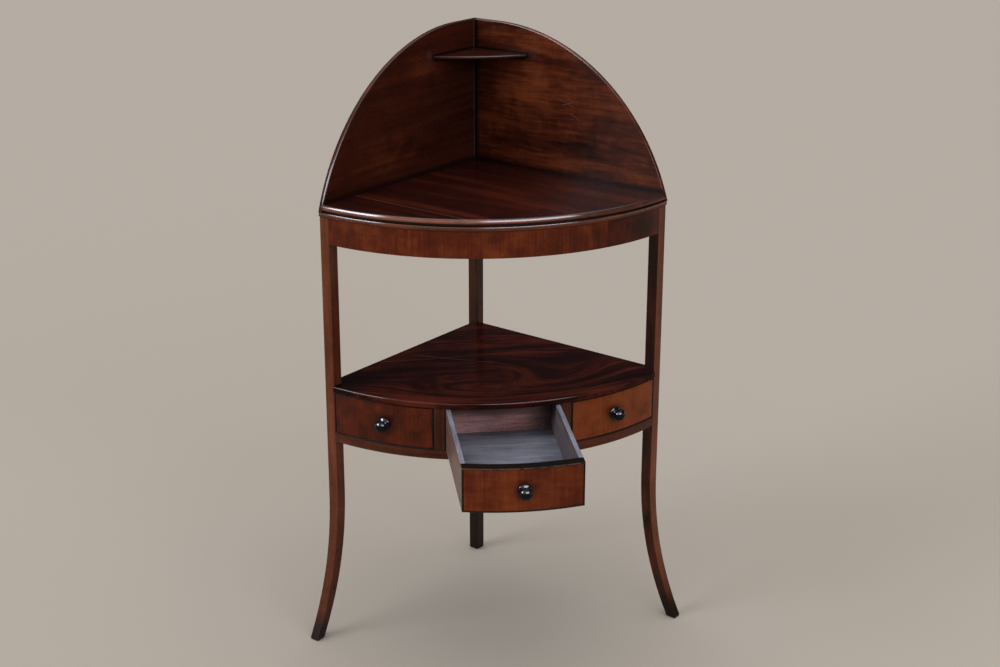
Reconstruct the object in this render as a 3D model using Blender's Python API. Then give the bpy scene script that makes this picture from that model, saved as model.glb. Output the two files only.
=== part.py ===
"""Bow-front corner washstand, built as the separate wooden pieces that a cabinet maker joins.

Metres, +Z up. The origin is the centre of the rear leg's foot. The two walls of the room
meet behind that leg, and the bowed front faces -Y. The middle drawer slides along Y and
is modelled pulled out; the two outer fronts are fixed.
"""

import math

import bmesh
import bpy

# Plan of the stand
wall_length = 0.430
post_width = 0.0205
bow_inset = 0.0121
seat_gap = 0.0003
cut_overrun = 0.004

# Heights, from the floor upwards
case_base_height = 0.380
bow_rail_height = 0.017
front_opening_height = 0.079
deck_thickness = 0.0104
shelf_opening_height = 0.2616
frieze_height = 0.047
under_top_thickness = 0.0082
top_thickness = 0.0142
splash_height = 0.264

# Front legs: sabre splay along the wall, and rounded feet
splay_start_height = 0.275
splay_reach = 0.064
splay_power = 2.2
foot_width_along = 0.0188
foot_width_inward = 0.0180
foot_round = 0.003
leg_level_power = 0.85

# Rails that lie along the walls, with stub tenons into the posts
rail_setback = 0.0005
rear_rail_thickness = 0.012
case_side_thickness = 0.010
wall_tenon_length = 0.0075
wall_tenon_thickness = 0.005
wall_tenon_shoulder = 0.008

# Bowed frieze, its veneer and the bowed rail under the drawer
frieze_thickness = 0.018
veneer_thickness = 0.001
veneer_joint_angles = (15.7, 26.0)
bow_rail_depth = 0.032
bow_tenon_length = 0.0062
bow_tenon_thickness = 0.008
bow_tenon_setback = 0.0055
bow_tenon_shoulder = 0.0045

# Edges of the boards
under_top_overhang = 0.002
under_top_round = 0.002
top_overhang = 0.0065
top_quirk_height = 0.003
top_nose_depth = 0.0045
end_board_width = 0.077
deck_overhang = 0.002
deck_round = 0.004
deck_lower_round = 0.0008

# Splash panels and the soap shelf
panel_thickness = 0.009
splash_arc_along = 0.062
splash_foot_overhang = 0.0041
shelf_drop = 0.0528
shelf_thickness = 0.0058
shelf_along = 0.128
shelf_bow = 0.010
housing_depth = 0.0025

# Screws through the splash panels
screw_radius = 0.0016
screw_tip_radius = 0.0006
screw_point_length = 0.0036
screw_head_radius = 0.0030
screw_head_height = 0.0019
screw_length = 0.024
screw_top_shares = (0.30, 0.90)
screw_corner_shares = (0.26, 0.62)

# Case front
opening_half_width = 0.102
divider_width = 0.0195
divider_depth = 0.028
divider_tenon_length = 0.006
divider_tenon_margin = 0.0045
divider_tenon_setback = 0.009
divider_tenon_depth = 0.0095
dummy_thickness = 0.012
bead_width = 0.0025
bead_depth = 0.005
bead_proud = 0.0009

# Drawer
drawer_kept_inside = 0.0648
drawer_side_clearance = 0.0015
drawer_top_clearance = 0.0015
drawer_rear_clearance = 0.0035
drawer_front_thickness = 0.020
drawer_side_thickness = 0.008
drawer_side_drop = 0.001
drawer_back_thickness = 0.008
drawer_back_drop = 0.006
drawer_bottom_recess = 0.005
drawer_bottom_thickness = 0.0065
drawer_groove_depth = 0.003
tail_lap = 0.003
tail_root_half_share = 0.112
tail_tip_half_share = 0.150
tail_centre_shares = (0.33, 0.70)
rear_tail_root_half_share = 0.111
rear_tail_tip_half_share = 0.145
rear_tail_centre_shares = (0.30, 0.74)

# Runners, guides and stops inside the case
runner_width_under = 0.0125
guide_width = 0.0115
guide_height = 0.012
runner_height = 0.009
runner_tongue_length = 0.006
runner_tongue_thickness = 0.005
runner_tongue_half_width = 0.006
stop_half_width = 0.010
stop_depth = 0.010
stop_height = 0.0035
stop_clearance = 0.0003
stop_offset = 0.050

# Glue blocks in the inner angles
block_size = 0.012
block_length = 0.040
frieze_block_angle = 24.0
deck_block_clearance = 0.006

# Turned knobs: radius shares of the collar, height shares of the projection
knob_radius = 0.0112
knob_projection = 0.023
knob_dowel_radius = 0.004
knob_dowel_length = 0.009
knob_radius_shares = (0.93, 1.00, 0.98, 0.84, 0.58, 0.52, 0.64, 0.86, 0.965, 0.90, 0.71, 0.41, 0.14)
knob_height_shares = (0.00, 0.04, 0.10, 0.15, 0.21, 0.28, 0.36, 0.49, 0.64, 0.78, 0.89, 0.97, 1.00)

# Fineness of the round shapes
bow_step_angle = 2.4
leg_steps = 14
foot_round_steps = 3
splash_steps = 40
nose_steps = 6
knob_steps = 24
screw_steps = 10

# Places that follow from the sizes above
root_two = math.sqrt(2)
quarter_turn = math.pi / 2
eighth_turn = math.pi / 4
corner_y = post_width / root_two
bow_y = corner_y - root_two * bow_inset
bow_radius = math.hypot(wall_length - bow_inset, post_width - bow_inset)
bow_rail_top = case_base_height + bow_rail_height
deck_base = bow_rail_top + front_opening_height
deck_top = deck_base + deck_thickness
frieze_base = deck_top + shelf_opening_height
post_top = frieze_base + frieze_height
under_top_base = post_top + seat_gap
under_top_top = under_top_base + under_top_thickness
top_base = under_top_top + seat_gap
top_surface = top_base + top_thickness
top_seam_along = wall_length - end_board_width
stand_height = top_surface + splash_height
shelf_height = stand_height - shelf_drop
splash_foot_along = wall_length + splash_foot_overhang
drawer_half_width = opening_half_width - drawer_side_clearance
drawer_base = bow_rail_top + seat_gap
drawer_front_top = deck_base - drawer_top_clearance
case_inner_face = rail_setback + case_side_thickness
drawer_rear_y = root_two * (bow_inset - case_inner_face - drawer_rear_clearance) - drawer_half_width
drawer_open = bow_radius + drawer_rear_y - drawer_kept_inside
floor_base = drawer_base + drawer_bottom_recess
floor_top = floor_base + drawer_bottom_thickness
tail_length = drawer_front_thickness - bead_depth - tail_lap

LEFT = -1
RIGHT = 1

colours = {
    "mahogany_top": ((0.10, 0.030, 0.020, 1.0), 0.22),
    "mahogany_splash": ((0.16, 0.050, 0.025, 1.0), 0.25),
    "mahogany_frame": ((0.19, 0.070, 0.035, 1.0), 0.30),
    "mahogany_veneer": ((0.24, 0.080, 0.035, 1.0), 0.25),
    "ebonised_wood": ((0.02, 0.015, 0.015, 1.0), 0.20),
    "drawer_lining": ((0.20, 0.17, 0.15, 1.0), 0.75),
    "carcass_wood": ((0.26, 0.15, 0.08, 1.0), 0.80),
    "screw_steel": ((0.30, 0.28, 0.26, 1.0), 0.45),
}


def clear_scene():
    """Remove every object that is in the scene."""
    for item in list(bpy.data.objects):
        bpy.data.objects.remove(item, do_unlink=True)


def material(name):
    """Return the material of that name, made once with its Principled BSDF."""
    if name in bpy.data.materials:
        return bpy.data.materials[name]
    made = bpy.data.materials.new(name)
    made.use_nodes = True
    shader = made.node_tree.nodes["Principled BSDF"]
    colour, roughness = colours[name]
    shader.inputs["Base Color"].default_value = colour
    shader.inputs["Roughness"].default_value = roughness
    shader.inputs["Metallic"].default_value = 1.0 if name == "screw_steel" else 0.0
    return made


def empty(name, location):
    """Add an empty that pieces are parented to."""
    holder = bpy.data.objects.new(name, None)
    holder.location = location
    bpy.context.scene.collection.objects.link(holder)
    return holder


def object_from(name, shape):
    """Turn a bmesh into a linked object with outward normals."""
    bmesh.ops.recalc_face_normals(shape, faces=shape.faces)
    mesh = bpy.data.meshes.new(name)
    shape.to_mesh(mesh)
    shape.free()
    piece = bpy.data.objects.new(name, mesh)
    bpy.context.scene.collection.objects.link(piece)
    return piece


def combine(piece, tool_shape, operation):
    """Join a tool shape to a piece, or cut it away, in the piece's own space."""
    tool = object_from(piece.name + "_tool", tool_shape)
    step = piece.modifiers.new(operation.lower(), "BOOLEAN")
    step.operation = operation
    step.solver = "EXACT"
    step.object = tool
    depsgraph = bpy.context.evaluated_depsgraph_get()
    mesh = bpy.data.meshes.new_from_object(piece.evaluated_get(depsgraph))
    piece.modifiers.clear()
    old_mesh = piece.data
    piece.data = mesh
    bpy.data.meshes.remove(old_mesh)
    bpy.data.objects.remove(tool, do_unlink=True)
    mesh.name = piece.name


def join(piece, tool_shape):
    """Grow a tenon or a tongue on a piece."""
    combine(piece, tool_shape, "UNION")


def cut(piece, tool_shape):
    """Cut a mortise, a groove or a hole in a piece."""
    combine(piece, tool_shape, "DIFFERENCE")


def finish(piece, material_name, parent, location=(0, 0, 0), turn=0.0, smooth_angle=30.0):
    """Give a piece its material and its place."""
    piece.data.materials.clear()
    piece.data.materials.append(material(material_name))
    piece.parent = parent
    piece.location = location
    piece.rotation_euler = (0, 0, turn)
    piece.data.shade_smooth()
    piece.data.set_sharp_from_angle(angle=math.radians(smooth_angle))
    return piece


def prism(outline, low, high, shape=None):
    """Extrude an outline in plan between two heights."""
    shape = shape or bmesh.new()
    lower = [shape.verts.new((x, y, low)) for x, y in outline]
    upper = [shape.verts.new((x, y, high)) for x, y in outline]
    shape.faces.new(lower[::-1])
    shape.faces.new(upper)
    for index in range(len(outline)):
        following = (index + 1) % len(outline)
        shape.faces.new((lower[index], lower[following], upper[following], upper[index]))
    return shape


def side_prism(outline, low, high, shape=None):
    """Extrude an outline drawn in Y and Z between two places along X."""
    shape = shape or bmesh.new()
    near = [shape.verts.new((low, y, z)) for y, z in outline]
    far = [shape.verts.new((high, y, z)) for y, z in outline]
    shape.faces.new(near[::-1])
    shape.faces.new(far)
    for index in range(len(outline)):
        following = (index + 1) % len(outline)
        shape.faces.new((near[index], near[following], far[following], far[index]))
    return shape


def box(x_span, y_span, z_span, shape=None):
    """A box from its three spans."""
    outline = [
        (x_span[0], y_span[0]),
        (x_span[1], y_span[0]),
        (x_span[1], y_span[1]),
        (x_span[0], y_span[1]),
    ]
    return prism(outline, z_span[0], z_span[1], shape)


def grown(span, amount):
    """A span made longer at both ends."""
    return (span[0] - amount, span[1] + amount)


def wall_turn(side):
    """The turn of a piece whose X axis runs along one wall, away from the corner."""
    return -quarter_turn + side * eighth_turn


def wall_box(side, along, inward, heights, shape=None):
    """A box in wall terms: along the wall, inward from it, and upwards."""
    across = sorted((-side * inward[0], -side * inward[1]))
    return box(along, across, heights, shape)


def in_bow(side, along, inward):
    """A point given in wall terms, as X and Y from the bow's centre."""
    x = side * (along - inward) / root_two
    y = root_two * bow_inset - (along + inward) / root_two
    return (x, y)


def on_bow(radius, angle):
    """A point in plan at an angle from straight ahead, about the bow's centre."""
    return (radius * math.sin(angle), -radius * math.cos(angle))


def wall_edge(side, inward):
    """The edge of a bowed piece on a plane parallel to the wall of the other side."""

    def angle(radius, inset=0.0):
        return side * (eighth_turn - math.asin((inward + inset - bow_inset) / radius))

    return angle


def upright_edge(side, x, outward=False):
    """The edge of a bowed piece on a plane parallel to the drawer's sides."""
    direction = 1 if outward else -1

    def angle(radius, inset=0.0):
        return side * math.asin((x + direction * inset) / radius)

    return angle


def radial_edge(degrees):
    """The edge of a bowed piece on a plane through the bow's centre."""

    def angle(radius, inset=0.0):
        return math.radians(degrees) + inset / radius

    return angle


def arc_points(radius, start, end, steps):
    """Points on an arc about the bow's centre."""
    points = []
    for index in range(steps + 1):
        share = index / steps
        points.append(on_bow(radius, start + (end - start) * share))
    return points


def steps_between(start, end):
    """The number of straight steps that an arc is drawn with."""
    return max(2, math.ceil(abs(end - start) / math.radians(bow_step_angle)))


def sweep(profile, start_edge, end_edge, shape=None):
    """Carry a closed profile of radius and height along the bow, between two edges."""
    shape = shape or bmesh.new()
    first_radius = profile[0][0]
    steps = steps_between(start_edge(first_radius), end_edge(first_radius))
    rows = []
    for radius, z in profile:
        points = arc_points(radius, start_edge(radius), end_edge(radius), steps)
        rows.append([shape.verts.new((x, y, z)) for x, y in points])
    for index in range(len(rows)):
        row = rows[index]
        following = rows[(index + 1) % len(rows)]
        for place in range(steps):
            shape.faces.new((row[place], row[place + 1], following[place + 1], following[place]))
    shape.faces.new([row[0] for row in rows])
    shape.faces.new([row[-1] for row in rows][::-1])
    return shape


def rectangle(radii, heights):
    """A rectangular profile of radius and height."""
    return [
        (radii[0], heights[0]),
        (radii[1], heights[0]),
        (radii[1], heights[1]),
        (radii[0], heights[1]),
    ]


def bow_board(edge_profile, wall_inset):
    """A board with two straight sides along the walls and a moulded bowed front."""
    shape = bmesh.new()
    left_edge = wall_edge(LEFT, wall_inset)
    right_edge = wall_edge(RIGHT, wall_inset)
    steps = steps_between(left_edge(bow_radius), right_edge(bow_radius))
    rear_y = root_two * (bow_inset - wall_inset)
    rows = []
    for radius, z in edge_profile:
        points = arc_points(radius, left_edge(radius), right_edge(radius), steps)
        rows.append([shape.verts.new((x, y, z)) for x, y in points])
    rear_low = shape.verts.new((0, rear_y, edge_profile[0][1]))
    rear_high = shape.verts.new((0, rear_y, edge_profile[-1][1]))
    for row, following in zip(rows, rows[1:]):
        for place in range(steps):
            shape.faces.new((row[place], row[place + 1], following[place + 1], following[place]))
    shape.faces.new([rear_low] + rows[0][::-1])
    shape.faces.new([rear_high] + rows[-1])
    shape.faces.new([rear_low] + [row[0] for row in rows] + [rear_high])
    shape.faces.new([rear_high] + [row[-1] for row in rows][::-1] + [rear_low])
    return shape


def turned(profile, steps, shape=None, place=(0, 0, 0), spin=0.0):
    """A turned shape from radius and height, whose axis points to -Y, then is spun about Z."""
    shape = shape or bmesh.new()
    base_x, base_y, base_z = place
    rows = []
    for radius, height in profile:
        row = []
        for index in range(steps):
            angle = 2 * math.pi * index / steps
            side_x = radius * math.cos(angle)
            x = base_x + side_x * math.cos(spin) + height * math.sin(spin)
            y = base_y + side_x * math.sin(spin) - height * math.cos(spin)
            z = base_z + radius * math.sin(angle)
            row.append(shape.verts.new((x, y, z)))
        rows.append(row)
    for row, following in zip(rows, rows[1:]):
        for index in range(steps):
            next_index = (index + 1) % steps
            shape.faces.new((row[index], row[next_index], following[next_index], following[index]))
    shape.faces.new(rows[0])
    shape.faces.new(rows[-1][::-1])
    return shape


def splay(z):
    """How far the front leg has swept outward at a height."""
    if z >= splay_start_height:
        return 0.0
    return splay_reach * ((splay_start_height - z) / splay_start_height) ** splay_power


def leg_levels(has_splay):
    """Heights of the leg's sections, with how far each is drawn in at the rounded foot."""
    levels = [(0.0, foot_round)]
    for index in range(1, foot_round_steps + 1):
        angle = quarter_turn * index / foot_round_steps
        height = foot_round * (1 - math.cos(angle))
        levels.append((height, foot_round * (1 - math.sin(angle))))
    if has_splay:
        for index in range(1, leg_steps + 1):
            share = (index / leg_steps) ** leg_level_power
            levels.append((foot_round + (splay_start_height - foot_round) * share, 0.0))
    levels.append((post_top, 0.0))
    return levels


def leg(side, along_start, has_splay):
    """A square post with a rounded foot; a front one sweeps outward along its wall."""
    shape = bmesh.new()
    rings = []
    for z, draw_in in leg_levels(has_splay):
        taper = max(0.0, 1 - z / splay_start_height) if has_splay else 0.0
        shift = splay(z) if has_splay else 0.0
        outer = along_start + post_width + shift
        inner = outer - post_width + taper * (post_width - foot_width_along)
        deep = post_width - taper * (post_width - foot_width_inward)
        corners = [
            (inner + draw_in, draw_in),
            (outer - draw_in, draw_in),
            (outer - draw_in, deep - draw_in),
            (inner + draw_in, deep - draw_in),
        ]
        rings.append([shape.verts.new((x, -side * inward, z)) for x, inward in corners])
    for ring, following in zip(rings, rings[1:]):
        for index in range(len(ring)):
            next_index = (index + 1) % len(ring)
            shape.faces.new((ring[index], ring[next_index], following[next_index], following[index]))
    shape.faces.new(rings[0])
    shape.faces.new(rings[-1])
    return shape


wall_rails = {
    "rear_rail": (rear_rail_thickness, frieze_base, post_top),
    "case_side": (case_side_thickness, case_base_height, deck_base - seat_gap),
}


def wall_tenon(thickness, base, top):
    """Inward span and heights of a wall rail's tenons."""
    middle = rail_setback + thickness / 2
    inward = (middle - wall_tenon_thickness / 2, middle + wall_tenon_thickness / 2)
    return inward, (base + wall_tenon_shoulder, top - wall_tenon_shoulder)


def bow_tenon_along():
    """Where the tenons of the bowed rails lie in the front posts, along the wall."""
    outer = wall_length - bow_tenon_setback
    return (outer - bow_tenon_thickness, outer)


def bow_tenon_inward():
    """How deep the tenons of the bowed rails reach into the front posts."""
    return (post_width - bow_tenon_length, post_width + seat_gap + cut_overrun)


bowed_rail_heights = {
    "frieze_rail": (frieze_base, post_top),
    "bow_rail": (case_base_height, bow_rail_top),
}


def front_leg(side, corner):
    """A front leg with mortises for the wall rails and the bowed rails."""
    inner = wall_length - post_width
    piece = object_from("front_left_leg" if side == LEFT else "front_right_leg", leg(side, inner, True))
    for thickness, base, top in wall_rails.values():
        inward, heights = wall_tenon(thickness, base, top)
        along = (inner - cut_overrun, inner + wall_tenon_length + seat_gap)
        cut(piece, wall_box(side, along, grown(inward, seat_gap), grown(heights, seat_gap)))
    for base, top in bowed_rail_heights.values():
        heights = (base + bow_tenon_shoulder, top - bow_tenon_shoulder)
        along = grown(bow_tenon_along(), seat_gap)
        cut(piece, wall_box(side, along, grown(bow_tenon_inward(), seat_gap), grown(heights, seat_gap)))
    finish(piece, "mahogany_frame", corner, turn=wall_turn(side))


def rear_leg(corner):
    """The straight leg in the corner, with mortises on its two inner faces."""
    piece = object_from("rear_leg", leg(LEFT, 0.0, False))
    along = (post_width - wall_tenon_length - seat_gap, post_width + cut_overrun)
    for thickness, base, top in wall_rails.values():
        inward, heights = wall_tenon(thickness, base, top)
        inward = grown(inward, seat_gap)
        heights = grown(heights, seat_gap)
        cut(piece, wall_box(LEFT, along, inward, heights))
        cut(piece, wall_box(LEFT, inward, along, heights))
    finish(piece, "mahogany_frame", corner, turn=wall_turn(LEFT))


def wall_rail(kind, side, corner):
    """A straight rail between the rear leg and a front leg, with a tenon at each end."""
    thickness, base, top = wall_rails[kind]
    name = kind + ("_left" if side == LEFT else "_right")
    along = (post_width + seat_gap, wall_length - post_width - seat_gap)
    piece = object_from(name, wall_box(side, along, (rail_setback, rail_setback + thickness), (base, top)))
    inward, heights = wall_tenon(thickness, base, top)
    rear_span = (post_width - wall_tenon_length, along[0] + cut_overrun)
    front_span = (along[1] - cut_overrun, wall_length - post_width + wall_tenon_length)
    join(piece, wall_box(side, rear_span, inward, heights))
    join(piece, wall_box(side, front_span, inward, heights))
    finish(piece, "carcass_wood", corner, turn=wall_turn(side))


def bow_tenon(side, base, top):
    """The tenon of a bowed rail into one front post."""
    along = bow_tenon_along()
    inward = bow_tenon_inward()
    outline = [
        in_bow(side, along[0], inward[0]),
        in_bow(side, along[1], inward[0]),
        in_bow(side, along[1], inward[1]),
        in_bow(side, along[0], inward[1]),
    ]
    return prism(outline, base + bow_tenon_shoulder, top - bow_tenon_shoulder)


def post_edge(side):
    """The edge of a bowed piece that meets a front post's inner face."""
    return wall_edge(side, post_width + seat_gap)


def frieze(bow):
    """The bowed frieze rail and the three sheets of veneer on its face."""
    outer = bow_radius - veneer_thickness - seat_gap
    heights = bowed_rail_heights["frieze_rail"]
    profile = rectangle((outer - frieze_thickness, outer), heights)
    piece = object_from("frieze_rail", sweep(profile, post_edge(LEFT), post_edge(RIGHT)))
    for side in (LEFT, RIGHT):
        join(piece, bow_tenon(side, *heights))
    finish(piece, "carcass_wood", bow)

    edges = [radial_edge(angle) for angle in veneer_joint_angles]
    starts = [post_edge(LEFT)] + edges
    ends = edges + [post_edge(RIGHT)]
    sheet_profile = rectangle((bow_radius - veneer_thickness, bow_radius), heights)
    for name, start, end in zip(("left", "middle", "right"), starts, ends):
        joint_gap = seat_gap if name != "left" else 0.0
        shape = sweep(sheet_profile, lambda radius: start(radius, joint_gap), end)
        finish(object_from("frieze_veneer_" + name, shape), "mahogany_veneer", bow)


def rounded_edge(overhang, base, top, lower_round, upper_round):
    """A board's bowed edge, with its lower and upper corners rounded."""
    outer = bow_radius + overhang
    points = []
    for index in range(nose_steps // 2 + 1):
        angle = quarter_turn * index / (nose_steps // 2)
        radius = outer - lower_round * (1 - math.sin(angle))
        points.append((radius, base + lower_round * (1 - math.cos(angle))))
    for index in range(nose_steps // 2 + 1):
        angle = quarter_turn * index / (nose_steps // 2)
        radius = outer - upper_round * (1 - math.cos(angle))
        points.append((radius, top - upper_round * (1 - math.sin(angle))))
    return points


def nosed_edge():
    """The top board's edge: a quirk below a bull nose."""
    outer = bow_radius + top_overhang
    quirk = top_base + top_quirk_height
    half_height = (top_surface - quirk) / 2
    points = [(outer - top_nose_depth, top_base)]
    for index in range(nose_steps + 1):
        angle = -quarter_turn + math.pi * index / nose_steps
        radius = outer - top_nose_depth * (1 - math.cos(angle))
        points.append((radius, quirk + half_height * (1 + math.sin(angle))))
    return points


def under_top(bow):
    """The thin board under the top, whose rounded edge shows as a bead."""
    edge = rounded_edge(under_top_overhang, under_top_base, under_top_top, under_top_round, under_top_round)
    finish(object_from("under_top", bow_board(edge, 0.0)), "mahogany_top", bow)


def screw_profile(extra):
    """A countersunk screw from its tip to its head, grown by a clearance."""
    return [
        (screw_tip_radius + extra, -screw_length - extra),
        (screw_radius + extra, -screw_length + screw_point_length),
        (screw_radius + extra, -screw_head_height),
        (screw_head_radius + extra, -extra),
        (screw_head_radius + extra, 0.0),
    ]


def screw_height():
    """The height of the screws that go into the edges of the top boards."""
    return (top_base + top_surface) / 2


def screw_hole(along, height, turn=0.0):
    """The hole for a screw that enters a wall's plane, in a frame turned from that wall's own."""
    profile = screw_profile(seat_gap) + [(screw_head_radius + seat_gap, cut_overrun)]
    place = (along * math.cos(turn), along * math.sin(turn), height)
    return profile, place, turn


def panel_holes(side, turn=0.0):
    """The holes of the screws that hold one panel to the top boards."""
    outward = 0.0 if side == LEFT else math.pi
    shape = bmesh.new()
    for share in screw_top_shares:
        profile, place, spin = screw_hole(share * wall_length, screw_height(), turn)
        turned(profile, screw_steps, shape, place, spin + outward)
    return shape


def corner_holes(turn=0.0):
    """The holes of the screws through the left panel into the right one's edge."""
    shape = bmesh.new()
    for share in screw_corner_shares:
        profile, place, spin = screw_hole(panel_thickness / 2, top_surface + splash_height * share, turn)
        turned(profile, screw_steps, shape, place, spin)
    return shape


def shifted_shape(shape, shift):
    """A shape moved along Y."""
    for vert in shape.verts:
        vert.co.y += shift
    return shape


def top_boards(bow):
    """The two boards of the top, which meet in a straight glue seam."""
    inset = panel_thickness + seat_gap
    reach = wall_length + top_overhang + cut_overrun
    half_gap = seat_gap / 2
    spans = {
        "top_board_main": (top_seam_along - half_gap, reach),
        "top_board_end": (-cut_overrun, top_seam_along + half_gap),
    }
    for name, span in spans.items():
        piece = object_from(name, bow_board(nosed_edge(), inset))
        corners = ((span[0], -cut_overrun), (span[1], -cut_overrun), (span[1], reach), (span[0], reach))
        outline = [in_bow(LEFT, along, inward) for along, inward in corners]
        cut(piece, prism(outline, top_base - cut_overrun, top_surface + cut_overrun))
        for side in (LEFT, RIGHT):
            holes = panel_holes(side, wall_turn(side))
            cut(piece, shifted_shape(holes, root_two * bow_inset))
        finish(piece, "mahogany_top", bow)


def deck(bow):
    """The lower shelf, notched round the three posts."""
    base = deck_base
    edge = rounded_edge(deck_overhang, base, deck_top, deck_lower_round, deck_round)
    piece = object_from("deck_board", bow_board(edge, 0.0))
    heights = (base - cut_overrun, deck_top + cut_overrun)
    deep = post_width + seat_gap
    for side in (LEFT, RIGHT):
        start = wall_length - post_width - seat_gap
        end = wall_length + deck_overhang + cut_overrun
        corners = ((start, -cut_overrun), (end, -cut_overrun), (end, deep), (start, deep))
        cut(piece, prism([in_bow(side, *corner) for corner in corners], *heights))
    corners = ((-cut_overrun, -cut_overrun), (deep, -cut_overrun), (deep, deep), (-cut_overrun, deep))
    cut(piece, prism([in_bow(RIGHT, *corner) for corner in corners], *heights))
    finish(piece, "mahogany_top", bow)


def splash_outline(start):
    """A panel's outline: level from the corner, then one arc down to the end of the top."""
    rise = stand_height - top_base
    reach = splash_foot_along - splash_arc_along
    radius = (reach ** 2 + rise ** 2) / (2 * rise)
    centre_height = stand_height - radius
    first = math.atan2(top_base - centre_height, reach)
    outline = [(start, top_base)]
    for index in range(splash_steps + 1):
        angle = first + (quarter_turn - first) * index / splash_steps
        along = splash_arc_along + radius * math.cos(angle)
        outline.append((along, centre_height + radius * math.sin(angle)))
    outline.append((start, stand_height))
    return outline


def splash_panel(side, corner):
    """One arched panel, with a housing for the soap shelf and holes for its screws."""
    outline = splash_outline(0.0 if side == LEFT else panel_thickness + seat_gap)
    shape = bmesh.new()
    inner_y = -side * panel_thickness
    outer = [shape.verts.new((along, 0, z)) for along, z in outline]
    inner = [shape.verts.new((along, inner_y, z)) for along, z in outline]
    shape.faces.new(outer)
    shape.faces.new(inner[::-1])
    for index in range(len(outline)):
        following = (index + 1) % len(outline)
        shape.faces.new((outer[index], outer[following], inner[following], inner[index]))
    piece = object_from("splash_panel_left" if side == LEFT else "splash_panel_right", shape)
    housing_along = (-cut_overrun, shelf_along + housing_depth + seat_gap)
    housing_inward = (panel_thickness - housing_depth, panel_thickness + cut_overrun)
    housing_heights = grown((shelf_height - shelf_thickness, shelf_height), seat_gap)
    if side == LEFT:
        housing_along = (panel_thickness - housing_depth, housing_along[1])
    cut(piece, wall_box(side, housing_along, housing_inward, housing_heights))
    cut(piece, panel_holes(side))
    cut(piece, corner_holes(wall_turn(LEFT) - wall_turn(side)))
    finish(piece, "mahogany_splash", corner, turn=wall_turn(side))


def soap_shelf(corner):
    """The small quarter shelf, let into both splash panels."""
    back = panel_thickness - housing_depth + seat_gap
    half_chord = (shelf_along - panel_thickness) / root_two
    chord_y = -(shelf_along + panel_thickness) / root_two
    radius = (half_chord ** 2 + shelf_bow ** 2) / (2 * shelf_bow)
    centre_y = chord_y - shelf_bow + radius
    end = math.acos((back + centre_y / root_two) / radius) - eighth_turn
    steps = nose_steps * 2
    outline = [(0, -back * root_two)]
    for index in range(steps + 1):
        angle = -end + 2 * end * index / steps
        outline.append((radius * math.sin(angle), centre_y - radius * math.cos(angle)))
    piece = object_from("soap_shelf", prism(outline, shelf_height - shelf_thickness, shelf_height))
    finish(piece, "mahogany_splash", corner)


def splash_screw(name, side, along, height, corner):
    """A countersunk screw from behind a splash panel."""
    turn = wall_turn(side)
    outward = turn if side == LEFT else turn + math.pi
    piece = object_from(name, turned(screw_profile(0.0), screw_steps))
    place = (along * math.cos(turn), along * math.sin(turn), height)
    finish(piece, "screw_steel", corner, place, outward)


def splash_screws(corner):
    """The screws of the two splash panels, and of the joint between them."""
    for side, word in ((LEFT, "left"), (RIGHT, "right")):
        for number, share in enumerate(screw_top_shares, 1):
            name = f"splash_screw_{word}_{number}"
            splash_screw(name, side, share * wall_length, screw_height(), corner)
    for number, share in enumerate(screw_corner_shares, 1):
        height = top_surface + splash_height * share
        splash_screw(f"splash_screw_corner_{number}", LEFT, panel_thickness / 2, height, corner)


def bow_rail(bow):
    """The bowed rail under the fronts, with mortises for the dividers and the runners."""
    heights = bowed_rail_heights["bow_rail"]
    profile = rectangle((bow_radius - bow_rail_depth, bow_radius), heights)
    piece = object_from("bow_rail", sweep(profile, post_edge(LEFT), post_edge(RIGHT)))
    for side in (LEFT, RIGHT):
        join(piece, bow_tenon(side, *heights))
        cut(piece, divider_tenon(side, seat_gap))
        cut(piece, runner_tongue(side, seat_gap))
    finish(piece, "mahogany_frame", bow)


def signed_span(side, low, high):
    """A span of X on one side of the middle."""
    return tuple(sorted((side * low, side * high)))


def divider_spans():
    """The divider's width in X, and its back in Y from the bow's centre."""
    outer = opening_half_width + divider_width
    back = divider_depth - math.sqrt(bow_radius ** 2 - opening_half_width ** 2)
    return opening_half_width, outer, back


def divider_tenon(side, extra):
    """The stub tenon under a divider, or with a clearance the mortise for it."""
    inner, outer, back = divider_spans()
    x_span = signed_span(side, inner + divider_tenon_margin, outer - divider_tenon_margin)
    front = back - divider_depth + divider_tenon_setback
    y_span = (front, front + divider_tenon_depth)
    z_span = (bow_rail_top - divider_tenon_length, drawer_base + cut_overrun)
    return box(grown(x_span, extra), grown(y_span, extra), grown(z_span, extra))


def divider(side, bow):
    """The upright between the drawer and a fixed front."""
    inner, outer, back = divider_spans()
    start = upright_edge(side, inner)(bow_radius)
    end = upright_edge(side, outer)(bow_radius)
    outline = arc_points(bow_radius, start, end, steps_between(start, end))
    outline.append((side * outer, back))
    outline.append((side * inner, back))
    name = "divider_left" if side == LEFT else "divider_right"
    piece = object_from(name, prism(outline, drawer_base, deck_base - seat_gap))
    join(piece, divider_tenon(side, 0.0))
    finish(piece, "mahogany_frame", bow)


def nosed_bead(radii, heights):
    """The profile of a bead whose front stands proud with softened corners."""
    inner, face = radii
    low, high = heights
    return [
        (inner, low),
        (face, low),
        (face + bead_proud, low + bead_proud),
        (face + bead_proud, high - bead_proud),
        (face, high),
        (inner, high),
    ]


def upright_bead(edge, heights, shape=None):
    """A bead that runs up one end of a front."""
    inner = bow_radius - bead_depth
    proud = bow_radius + bead_proud
    outline = [
        on_bow(inner, edge(inner, 0.0)),
        on_bow(bow_radius, edge(bow_radius, 0.0)),
        on_bow(proud, edge(proud, bead_proud)),
        on_bow(proud, edge(proud, bead_width - bead_proud)),
        on_bow(bow_radius, edge(bow_radius, bead_width)),
        on_bow(inner, edge(inner, bead_width)),
    ]
    return prism(outline, heights[0], heights[1], shape)


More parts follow.
